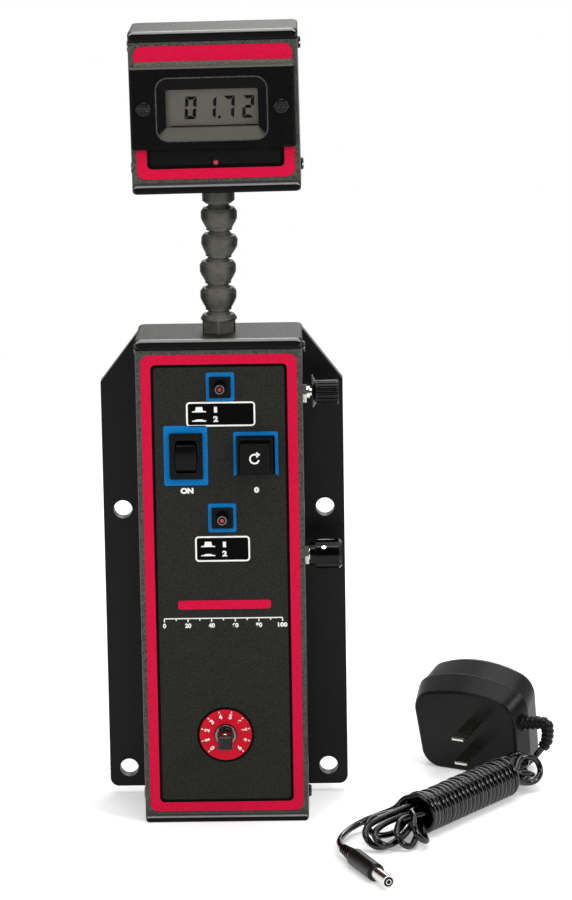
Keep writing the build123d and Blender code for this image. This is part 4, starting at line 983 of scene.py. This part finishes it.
@dataclass
class KeyMarks:
    """The marks on the keys and buttons, which move with them."""

    key_face: Face = Face(15.4, -29.3, 170.2)
    arrow_radius: float = 2.0
    arrow_line: float = 0.75
    arrow_turn: Pair = (60.0, 345.0)
    arrow_steps: int = 30
    arrow_tip: Points = ((-0.2, 1.5), (-0.2, -1.4), (1.6, 0.3))
    button_x: float = 0.4
    button_heights: Pair = (200.8, 141.3)
    button_front: float = -25.1
    button_steps: int = 40
    ring_radii: Pair = (2.0, 1.6)
    ring_film: Film = Film(0.2, 0.1)
    dot_radius: float = 0.8
    dot_film: Film = Film(0.34, 0.1)

    def build(self) -> None:
        """Marks the reset key and puts a red dot in each button."""
        self.mark_key()
        for body, height in zip(("upper_button", "lower_button"), self.button_heights):
            self.mark_button(body, height)

    def mark_key(self) -> None:
        """A white turning arrow on the reset key."""
        start, end = self.arrow_turn
        turns = [radians(start + (end - start) * step / self.arrow_steps)
                 for step in range(self.arrow_steps + 1)]
        middle, half = self.arrow_radius, self.arrow_line / 2
        bow = [((middle + half) * cos(turn), (middle + half) * sin(turn)) for turn in turns]
        bow += [((middle - half) * cos(turn), (middle - half) * sin(turn))
                for turn in turns[::-1]]
        x, z = middle * cos(turns[0]), middle * sin(turns[0])
        tip = [(x + across, z + up) for across, up in self.arrow_tip]
        Stencil("reset_key_arrow", self.key_face).cut(bow).cut(tip).print_on(
            Palette.WHITE_INK, "reset_key")

    def mark_button(self, body: str, height: float) -> None:
        """A red dot in a bright ring on one button's end.

        Args:
            body: The button's body.
            height: Height of its middle.
        """
        face = Face(self.button_x, self.button_front, height)
        outer, inner = (circle(radius, self.button_steps) for radius in self.ring_radii)
        Stencil(f"{body}_ring", face, self.ring_film).cut(outer, inner).print_on(
            Palette.STEEL, body, "button_metal")
        Stencil(f"{body}_dot", face, self.dot_film).cut(
            circle(self.dot_radius, self.button_steps)).print_on(
            Palette.RED_LENS, body, "red_lens")


@dataclass
class HeadPrint:
    """The print on the display head's overlay."""

    face: Face = head_face(-19.9)
    rim_face: Face = head_face(-20.0)
    rim: Box = (-36.7, 5.0, 36.7, 66.9)
    overlay: Box = (-34.7, 6.4, 34.7, 65.3)
    half_width: float = 34.65
    corner: float = 3.8
    panel_foot: float = 58.4
    panel_top: float = 65.15
    strip_foot: float = 56.2
    strip_gap: float = 0.1
    strip_radius: float = 0.3
    foot: float = 6.55
    arms_top: float = 20.2
    stripe: float = 4.5
    stripe_radius: float = 2.2
    dark_inset: float = 4.6
    dark_radius: float = 2.1
    pale_inset: float = 6.2
    pale_radius: float = 1.2
    pale_film: Film = Film(0.05, 0.04)
    lamp_height: float = 13.6
    lamp_clearance: float = 1.25
    lamp_steps: int = 32
    meter_face: Face = head_face(-23.0)
    window: Box = (-25.0, 23.9, 23.0, 51.1)
    window_line: Pair = (0.55, 0.02)
    window_radii: Pair = (5.5, 5.0)
    least_step: float = 0.01

    def build(self) -> None:
        """Prints a light line of painted highlight round the meter's window and the rim round the
        overlay, then the panel with its grey strip of painted highlight, and the foot.
        """
        # A light line round the window's frame: a painted highlight.
        Stencil("meter_window_painted_highlight", self.meter_face, THIN_FILM).cut(
            *(rounded(self.window, radius, -out)
              for radius, out in zip(self.window_radii, self.window_line))).print_on(
            Palette.CASE_RIM, "head", "black_plastic")
        print_rim("head", self.rim_face, self.rim, self.overlay)
        edge = self.half_width
        panel = rounded((-edge, self.panel_foot - self.corner, edge, self.panel_top), self.corner)
        self.layer("head_red_panel", Palette.RED_INK,
                   self.cleaned([(x, max(z, self.panel_foot)) for x, z in panel]))
        # A grey strip under the red panel: a painted highlight of the bezel's top edge.
        self.layer("head_painted_highlight_strip", Palette.GREY_INK, rounded(
            (-edge, self.strip_foot, edge, self.panel_foot - self.strip_gap), self.strip_radius))
        self.print_foot()

    def layer(self, name: str, finish: Palette, *outlines: Outline, film: Film = Film()) -> None:
        """One layer of print on the head's overlay."""
        Stencil(name, self.face, film).cut(*outlines).print_on(finish, "head")

    def print_foot(self) -> None:
        """The red U at the foot, with a darker panel of painted shadow in it round the lamp,
        edged with a black band of painted shade.
        """
        edge, inner_edge = self.half_width, self.half_width - self.stripe
        around = (-edge, self.foot, edge, self.arms_top + self.corner)
        outer = rounded(around, self.corner)
        inner = self.tub(self.stripe, self.stripe_radius)
        half = len(outer) // 2
        self.layer("head_red_foot", Palette.RED_INK, self.cleaned(
            [(-edge, self.arms_top), *below(outer[half:], self.arms_top),
             (edge, self.arms_top), (inner_edge, self.arms_top), *inner[half:][::-1],
             (-inner_edge, self.arms_top)]))
        dark = self.cleaned(self.tub(self.dark_inset, self.dark_radius))
        pale = self.cleaned(self.tub(self.pale_inset, self.pale_radius))
        lamp = circle(self.lamp_clearance, self.lamp_steps, self.lamp_height)
        # A black band of painted shade inside the U, then a darker field of painted shadow.
        self.layer("head_painted_shade_edge", Palette.BLACK_INK, dark, pale)
        self.layer("head_painted_shadow_field", Palette.OVERLAY_FOOT, pale, lamp, film=self.pale_film)

    def tub(self, inset: float, radius: float) -> Outline:
        """A panel within the red U, open to the meter above.

        Args:
            inset: How far it lies inside the U's outer edge.
            radius: Radius of its lower corners.

        Returns:
            The outline.
        """
        edge = self.half_width - inset
        panel = (-edge, self.foot + inset, edge, self.arms_top + self.corner)
        return below(rounded(panel, radius), self.arms_top)

    def cleaned(self, outline: Outline) -> Outline:
        """Drops points that repeat the one before.

        Args:
            outline: The outline.

        Returns:
            The outline without them.
        """
        kept = [outline[0]]
        for x, z in outline[1:]:
            if abs(x - kept[-1][0]) + abs(z - kept[-1][1]) > self.least_step:
                kept.append((x, z))
        return kept


@dataclass
class Display:
    """The dark segments on the display glass."""

    face: Face = head_face(-18.0)
    reading: str = "0172"
    rights: Box = (-8.2, 0.5, 8.5, 17.0)
    digit_width: float = 5.0
    digit_height: float = 10.0
    line: float = 1.5
    gap: float = 0.14
    upper_lift: float = 0.1
    slant: float = 0.07
    foot: float = 32.6
    point_after: int = 1
    point_step: float = 1.6
    point_outline: Points = ((-0.6, 0.0), (0.6, 0.0), (0.7, 1.3), (-0.5, 1.3))
    glass_edge: Box = (-19.2, 29.3, 18.8, 29.8)

    SEGMENTS = {"0": "abcdef", "1": "bc", "2": "abged", "7": "abc"}

    def build(self) -> None:
        """Shows the reading that the display rests on."""
        digits = Stencil("display_digits", self.face, RIM_FILM)
        for figure, right in zip(self.reading, self.rights):
            for name in self.SEGMENTS[figure]:
                digits.cut(self.segment(name, right - self.digit_width))
        point = self.rights[self.point_after] + self.point_step
        digits.cut([(point + x, self.foot + z) for x, z in self.point_outline])
        digits.cut(bar(*self.glass_edge))
        digits.print_on(Palette.DIGIT, "head", "display_glass")

    def segment(self, name: str, left: float) -> Outline:
        """One mitred bar of a digit.

        Args:
            name: Its letter, from a at the top round to f, with g in the middle.
            left: The digit's least x, before its slant.

        Returns:
            The bar's outline.
        """
        wide, tall, line, gap = self.digit_width, self.digit_height, self.line, self.gap
        half, near, far = tall / 2, gap + line, wide - gap - line
        if name in "ad":
            edge, inner = (tall, tall - line) if name == "a" else (0.0, line)
            shape = [(gap, edge), (wide - gap, edge), (far, inner), (near, inner)]
        elif name == "g":
            shape = [(gap + line / 2, half), (near, half + line / 2), (far, half + line / 2),
                     (wide - gap - line / 2, half), (far, half - line / 2),
                     (near, half - line / 2)]
        else:
            edge, inner = (wide, wide - line) if name in "bc" else (0.0, line)
            if name in "bf":
                low, high, low_cut, high_cut = half + gap, tall - gap, line / 2, line
                start = low + self.upper_lift
            else:
                low, high, low_cut, high_cut = gap, half - gap, line, line / 2
                start = low
            shape = [(edge, start), (edge, high), (inner, high - high_cut),
                     (inner, low + low_cut)]
        return [(left + x + self.slant * z, self.foot + z) for x, z in shape]


@dataclass(frozen=True)
class EndLoop:
    """One open loop of cord that stands out of an end of the hank."""

    reach: float
    side: float
    drop: float
    half: float
    turn: float


@dataclass(frozen=True)
class LegStop:
    """A control point on a loop's leg, in shares of the loop's own sizes.

    It stands the share reach of the loop's reach out of the hank's end, less the share
    back of its half width, and beyond millimetres more.
    """

    reach: float
    back: float
    beyond: float
    width: float
    aside: float

    def out(self, shape: EndLoop) -> float:
        """How far out of the hank's end it stands on a loop."""
        return shape.reach * self.reach - self.back * shape.half + self.beyond


@dataclass
class CordSet:
    """The adaptor's cord: lead, hank and tail in one run, with its strain relief and plug."""

    radius: float = 1.45
    length: float = 2.35
    start: Triple = (145.9, 31.5, 16.6)
    lead: tuple[Triple, ...] = ((142.8, 31.36, 12.7), (139.3, 29.3, 10.2), (136.2, 25.4, 9.0))
    hank_left: Triple = (85.2, -42.8, 9.35)
    hank_right: Triple = (127.5, 11.8, 9.35)
    strands: Points = ((4.9, 338), (4.9, 22), (4.9, 68), (4.9, 292), (1.7, 90),
                       (1.7, 270), (4.9, 248), (4.9, 158), (4.9, 202), (4.9, 112))
    strand_inside: float = 5.0
    strand_outside: float = 1.5
    strand_splay: float = 1.03
    leg: tuple[LegStop, ...] = (LegStop(0.52, 0.0, 0.0, 1.06, 0.56),
                                LegStop(1.0, 0.75, 0.0, 1.04, 0.92),
                                LegStop(1.0, 0.0, 0.4, 0.52, 1.0))
    left_loops: tuple[EndLoop, ...] = (EndLoop(23.2, 8.8, 2.0, 4.8, 222.3),
                                       EndLoop(30.5, 4.0, 3.8, 5.8, 45.2),
                                       EndLoop(29.7, -0.7, 3.3, 4.7, 37.4),
                                       EndLoop(21.9, -7.0, 4.0, 5.3, 226.2),
                                       EndLoop(16.5, -12.1, 0.9, 6.1, 235.6))
    right_loops: tuple[EndLoop, ...] = (EndLoop(17.5, 2.3, -4.7, 4.3, 12.6),
                                        EndLoop(18.6, 0.2, 5.2, 6.4, 335.2),
                                        EndLoop(13.5, -0.3, -1.1, 4.0, 41.6),
                                        EndLoop(16.9, -7.1, -1.9, 5.8, 66.2))
    wrap_radius: float = 7.85
    wrap_start: float = 68.2
    wrap_end: float = 0.9
    wrap_turns: int = 22
    wrap_missing: int = 2
    turn_points: int = 12
    turn_in: float = -60.0
    first_turn: float = 1.3
    swell: float = 0.45
    swell_start: float = 0.8
    swell_base: float = 0.6
    wobble: float = 0.1
    wobble_rate: float = 0.23
    leave: tuple[Triple, ...] = ((0.3, 8.4, 78.0), (-0.5, 9.6, 44.0))
    tail: tuple[Triple, ...] = ((76.4, -37.2, 10.8), (68.9, -37.0, 8.0), (61.3, -37.2, 5.0),
                                (55.2, -43.0, 3.5), (51.4, -52.4, 3.3), (50.02, -65.8, 4.0),
                                (52.4, -71.3, 4.0))
    relief: tuple[Triple, ...] = ((135.2, 35.3, 27.2), (140.0, 33.5, 27.9), (145.2, 31.5, 28.9),
                                  (148.3, 30.9, 27.8), (148.3, 31.3, 23.4), (148.0, 31.6, 19.3),
                                  (145.9, 31.5, 16.6))
    relief_root: float = 3.35
    relief_tip: float = 2.75
    relief_lip: float = 2.5
    ribs: int = 10
    rib_lead: float = 0.5
    rib_section: Points = ((0.0, 0.5), (0.08, 0.12), (0.22, 0.0), (0.56, 0.0), (0.7, 0.12),
                           (0.78, 0.5))
    plug_tip: Triple = (71.21, -114.92, 4.0)
    plug_direction: Triple = (0.396, -0.918, 0.0)
    ring_stops: Triple = (-3.0, -0.4, 0.18)
    ring_section: Points = ((0.0, 2.17), (0.96, 2.17), (1.0, 1.97), (1.0, 1.25), (0.0, 1.25))
    sleeve_stops: Triple = (-3.0, 0.0, 0.3)
    sleeve_section: Points = ((0.0, 1.25), (1.0, 1.25), (1.0, 0.9), (0.0, 0.9))

    def build(self) -> None:
        relief = self.build_relief()
        tips = [self.build_tip("plug_tip_ring", self.ring_stops, self.ring_section,
                               Palette.RUBBER),
                self.build_tip("plug_tip_sleeve", self.sleeve_stops, self.sleeve_section,
                               Palette.NICKEL)]
        cord = bpy.data.objects.new("power_cord",
                                    self.curve("power_cord", self.route(), self.radius))
        place(cord, "base", Palette.CORD)
        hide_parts("cord_lead", "cord_hank", "cord_tail")
        tuple(value * MM for value in self.start)

    def at(self, along: float, far: float, up: float) -> Vector:
        """A place by its distances from the left end of the hank's axis.

        Args:
            along: How far right.
            far: How far to the far side.
            up: How far up.

        Returns:
            The place, in millimetres.
        """
        axis = (Vector(self.hank_right) - Vector(self.hank_left)).normalized()
        away = Vector((-axis.y, axis.x, 0))
        return Vector(self.hank_left) + axis * along + away * far + Vector((0, 0, up))

    def on_hank(self, along: float, radius: float, angle: float, lift: float = 0.0) -> Vector:
        """A place by its turn about the hank's axis.

        Args:
            along: How far right of the left end.
            radius: How far from the axis.
            angle: Turn about the axis, from the far side up, in degrees.
            lift: How much higher than that.

        Returns:
            The place, in millimetres.
        """
        turn = radians(angle)
        return self.at(along, radius * cos(turn), radius * sin(turn) + lift)

    def hank_length(self) -> float:
        """Length of the wrapped stretch."""
        return (Vector(self.hank_right) - Vector(self.hank_left)).length

    def loop_leg(self, strand: int, shape: EndLoop, rightward: bool, way: int) -> list[Vector]:
        """Control points of one leg of a loop, from inside the wraps out to its end.

        Args:
            strand: Number of the strand that it belongs to, from 0.
            shape: How the loop stands.
            rightward: Whether it is at the right end.
            way: 1 or -1, for the side of the loop that it runs on.

        Returns:
            The points.
        """
        base, sign = (self.hank_length(), 1) if rightward else (0.0, -1)
        across, rise = cos(radians(shape.turn)), sin(radians(shape.turn))
        radius, angle = self.strands[strand]
        points = [self.on_hank(base - sign * self.strand_inside, radius, angle),
                  self.on_hank(base + sign * self.strand_outside, radius * self.strand_splay,
                               angle)]
        for stop in self.leg:
            width = shape.half * stop.width * way
            points.append(self.at(base + sign * stop.out(shape),
                                  shape.side * stop.aside + width * across,
                                  width * rise - shape.drop * stop.aside))
        return points

    def core(self) -> list[Vector]:
        """Places the strands inside the wraps and the loops at both ends.

        Returns:
            Their control points.
        """
        points = [self.on_hank(self.hank_length() - self.strand_inside, *self.strands[0])]
        for strand in range(len(self.strands) - 1):
            rightward = strand % 2 == 1
            shape = (self.right_loops if rightward else self.left_loops)[strand // 2]
            points += self.loop_leg(strand, shape, rightward, 1)
            points += self.loop_leg(strand + 1, shape, rightward, -1)[::-1]
        return points

    def wraps(self) -> list[Vector]:
        """Winds the turns round the core, from the right end to the left.

        Returns:
            Their control points.
        """
        step = 360 / self.turn_points
        # The spline runs nearer the axis than its control points by this share.
        control = self.wrap_radius / (0.75 + 0.25 * cos(radians(step)))
        length, (inner, first) = self.hank_length(), self.strands[-1]
        # From the last strand round to the first turn: how far past the end, radius, turn.
        bend = ((-6.0, inner, 0.0), (0.5, inner + 0.2, -1.0),
                (4.2, inner + 1.6, self.turn_in * 0.2),
                (5.6, control - 1.0, self.turn_in * 0.62),
                (2.8, control, self.turn_in * 1.03))
        points = [self.on_hank(length + out, radius, first + turn)
                  for out, radius, turn in bend]
        count = self.turn_points * self.wrap_turns - self.wrap_missing
        for index in range(count + 1):
            share = index / count
            along = self.wrap_start + (self.wrap_end - self.wrap_start) * share
            end = max(0.0, abs(2 * share - 1) - self.swell_start) / (1 - self.swell_start)
            swell = (self.swell * end * (self.swell_base + share)
                     + self.wobble * sin(self.wobble_rate * index))
            angle = first + self.turn_in * self.first_turn - step * index
            points.append(self.on_hank(along, control + swell, angle, swell))
        return points

    def route(self) -> list[Vector]:
        """Control points of the whole cord."""
        leave = [self.on_hank(*spot) for spot in self.leave]
        return [Vector(self.start), *map(Vector, self.lead), *self.core(), *self.wraps(),
                *leave, *map(Vector, self.tail)]

    @staticmethod
    def curve(name: str, points: list[Vector], radius: float = 0.0,
              resolution: int = 4) -> bpy.types.Curve:
        """A smooth round curve, or a bare line where it has no radius.

        Args:
            name: Its name.
            points: Its control points, in millimetres.
            radius: Its own radius, in millimetres.
            resolution: Steps from one control point to the next.

        Returns:
            The curve's data.
        """
        data = bpy.data.curves.new(name, "CURVE")
        data.dimensions = "3D"
        data.resolution_u = resolution
        data.bevel_depth = radius * MM
        data.bevel_resolution = 4
        data.use_fill_caps = radius > 0
        spline = data.splines.new("NURBS")
        spline.points.add(len(points) - 1)
        for point, spot in zip(spline.points, points):
            point.co = (*(spot * MM), 1)
        spline.order_u = 3
        spline.use_endpoint_u = True
        return data

    def build_relief(self) -> Piece:
        """Makes the ribbed sleeve that tapers from the adaptor to the cord.

        Returns:
            The piece.
        """
        path = self.curve("relief_path", [Vector(spot) for spot in self.relief], resolution=16)
        centres = [vertex.co.copy() for vertex in shape_of(path).vertices]
        piece = turned_tube("relief_sleeve", centres, self.relief_profile())
        place(piece, "base", Palette.RUBBER)
        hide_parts("adaptor_strain_relief")
        return piece

    def relief_profile(self) -> Outline:
        """Draws the sleeve's ribs.

        Returns:
            Share of the way along the sleeve and radius there.
        """
        profile: Outline = [(0.0, self.relief_root)]
        pitch = 1 / (self.ribs + self.rib_lead)
        for rib in range(self.ribs):
            start = pitch * (rib + self.rib_lead)
            crest = self.relief_root + (self.relief_tip - self.relief_root) * start
            profile += [(start + pitch * step, crest - depth) for step, depth in self.rib_section]
        return [*profile, (1.0, self.relief_lip)]

    def build_tip(self, name: str, stops: Triple, section: Points,
                  finish: Palette) -> Piece:
        """Makes a round part in the end of the plug's barrel.

        Args:
            name: Its name.
            stops: Places along the plug where it is drawn, ahead of the barrel's end.
            section: Its section: share of the way along and radius.
            finish: Its finish.

        Returns:
            The piece.
        """
        tip, ahead = Vector(self.plug_tip), Vector(self.plug_direction).normalized()
        centres = [(tip + ahead * stop) * MM for stop in stops]
        return place(turned_tube(name, centres, section, hollow=True), "base", finish)


@dataclass(frozen=True)
class Lamp:
    """A soft square lamp, or a strip that draws bright lines on glossy pieces."""

    name: str
    at: Triple
    towards: Triple
    size: float
    power: float
    breadth: float | None = None

    def hang(self) -> None:
        """Makes the lamp and points it."""
        data = bpy.data.lights.new(self.name, "AREA")
        data.shape = "RECTANGLE"
        data.size = self.size * MM
        data.size_y = (self.breadth or self.size) * MM
        data.energy = self.power
        lamp = bpy.data.objects.new(self.name, data)
        lamp.location = Vector(self.at) * MM
        aim = Vector(self.towards) - Vector(self.at)
        lamp.rotation_euler = aim.to_track_quat("-Z", "Y").to_euler()
        link(lamp)


@dataclass
class Studio:
    """The floor, the lamps, the pale surroundings and the camera."""

    lamps: tuple[Lamp, ...] = (
        Lamp("lamp_over", (150, 100, 1500), (60, 0, 100), 1100, 9.0),
        Lamp("lamp_key", (1300, -900, 1100), (40, 0, 150), 420, 11.0),
        Lamp("lamp_strip", (100, -600, 1500), (60, 0, 100), 900, 4.5, 50),
        Lamp("lamp_fill", (-1100, -1300, 700), (20, 0, 170), 900, 6.0),
        Lamp("lamp_back", (300, 1500, 1000), (30, 0, 150), 900, 8.0))
    camera_place: Triple = (48.377, -1582.688, 526.124)
    camera_turns: Triple = (-0.0116, 0.1854, -0.0162)
    focal_pixels: float = 3604.33
    shift: float = -0.15
    sensor: float = 36.0
    clip: Pair = (0.05, 60.0)
    floor_size: float = 24000.0
    floor_colour: Triple = (0.88, 0.88, 0.88)
    floor_glow: float = 0.3
    fade: Pair = (500.0, 1100.0)
    light_depths: Pair = (-0.6, 0.5)
    light_levels: Pair = (0.35, 0.55)
    gloss_depths: Pair = (-0.4, 0.2)
    gloss_levels: Pair = (0.1, 1.0)

    def build(self) -> None:
        """Sets up everything round the object."""
        bpy.context.scene.view_settings.view_transform = "Standard"
        self.build_floor()
        self.build_world()
        for lamp in self.lamps:
            lamp.hang()
        self.build_camera()

    def build_floor(self) -> None:
        """Lays a pale floor that keeps the object's soft shadow."""
        mesh = bmesh.new()
        bmesh.ops.create_grid(mesh, x_segments=2, y_segments=2, size=self.floor_size / 2 * MM)
        data = bpy.data.meshes.new("floor")
        mesh.to_mesh(data)
        mesh.free()
        floor = bpy.data.objects.new("floor", data)
        link(floor)
        data.materials.append(self.floor_paper())

    def floor_paper(self) -> bpy.types.Material:
        """Matt paper that fades to white where the eye looks far from the object.

        Returns:
            The material.
        """
        paper = bpy.data.materials.new("floor_paper")
        sheet = NodeSheet(paper)
        seen = self.seen(sheet)
        matt = sheet.add("BsdfDiffuse", Color=self.floor_colour).outputs["BSDF"]
        glow = sheet.add("Emission", Color=WHITE,
                         Strength=sheet.reckon("MULTIPLY", seen, self.floor_glow))
        near = sheet.pair(sheet.add("AddShader"), matt, glow.outputs["Emission"])
        white = sheet.add("Emission", Color=WHITE, Strength=1.0)
        away = sheet.add("VectorMath", {"operation": "LENGTH"})
        sheet.feed(away.inputs[0], sheet.add("TexCoord").outputs["Object"])
        start, end = self.fade
        fade = sheet.spread(away.outputs["Value"], start * MM, end * MM,
                            interpolation_type="SMOOTHSTEP")
        both = sheet.mix_shaders(sheet.reckon("MULTIPLY", seen, fade), near.outputs["Shader"],
                                 white.outputs["Emission"])
        sheet.add("OutputMaterial", Surface=both)
        return paper

    @staticmethod
    def seen(sheet: NodeSheet) -> Socket:
        """Tells rays that are seen from those that light.

        Args:
            sheet: The node sheet.

        Returns:
            1 for a ray that the eye, gloss or glass sees, and 0 for the others.
        """
        path = sheet.add("LightPath").outputs
        gloss = sheet.reckon("MAXIMUM", path["Is Glossy Ray"], path["Is Transmission Ray"])
        return sheet.reckon("MAXIMUM", path["Is Camera Ray"], gloss)

    def build_world(self) -> None:
        """Makes surroundings that are white to the eye and dim in front for light and gloss."""
        world = bpy.data.worlds.new("pale_room")
        bpy.context.scene.world = world
        sheet = NodeSheet(world)
        direction = sheet.add("TexCoord").outputs["Generated"]
        depth = sheet.add("SeparateXYZ", Vector=direction).outputs["Y"]
        light = sheet.spread(depth, *self.light_depths, *self.light_levels)
        gloss = sheet.spread(depth, *self.gloss_depths, *self.gloss_levels)
        level = sheet.blend(self.seen(sheet), light, gloss, Blend.VALUE)
        eye = sheet.add("LightPath").outputs["Is Camera Ray"]
        room = sheet.add("Background", Color=WHITE,
                         Strength=sheet.blend(eye, level, 1.0, Blend.VALUE))
        sheet.add("OutputWorld", Surface=room.outputs["Background"])

    def build_camera(self) -> None:
        """Puts the camera at the photograph's viewing angle."""
        yaw, pitch, roll = self.camera_turns
        ahead = Vector((sin(yaw) * cos(pitch), cos(yaw) * cos(pitch), -sin(pitch)))
        level_right = Vector((cos(yaw), -sin(yaw), 0))
        level_up = level_right.cross(ahead)
        right = level_right * cos(roll) + level_up * sin(roll)
        up = level_up * cos(roll) - level_right * sin(roll)
        data = bpy.data.cameras.new("camera")
        data.sensor_width = self.sensor
        data.lens = self.focal_pixels / PHOTO_HEIGHT * self.sensor
        data.shift_y = self.shift
        data.clip_start, data.clip_end = self.clip
        camera = bpy.data.objects.new("camera", data)
        turned = Matrix((right, up, -ahead)).transposed().to_4x4()
        turned.translation = Vector(self.camera_place) * MM
        camera.matrix_world = turned
        link(camera)
        bpy.context.scene.camera = camera


def dress_nodes(nodes: dict[str, Piece]) -> None:
    """Gives every CAD node its finish.

    Args:
        nodes: The CAD nodes by name.
    """
    for finish, names in NODE_FINISHES.items():
        for name in names:
            wear_finish(nodes[name], finish)
    left_out = set(nodes) - {name for names in NODE_FINISHES.values() for name in names}
    log.info("nodes without a finish: %s", sorted(left_out) or "none")


def main() -> None:
    """Loads the frame and dresses the tester in order."""
    logging.basicConfig(level=logging.INFO, format="%(name)s: %(message)s")
    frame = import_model()
    Studio().build()
    dress_nodes(frame["nodes"])
    for part in (BasePrint(), DriveScale(), KeyMarks(), HeadPrint(), Display(), CordSet()):
        part.build()
    bpy.context.view_layer.update()


if __name__ == "__main__":
    main()
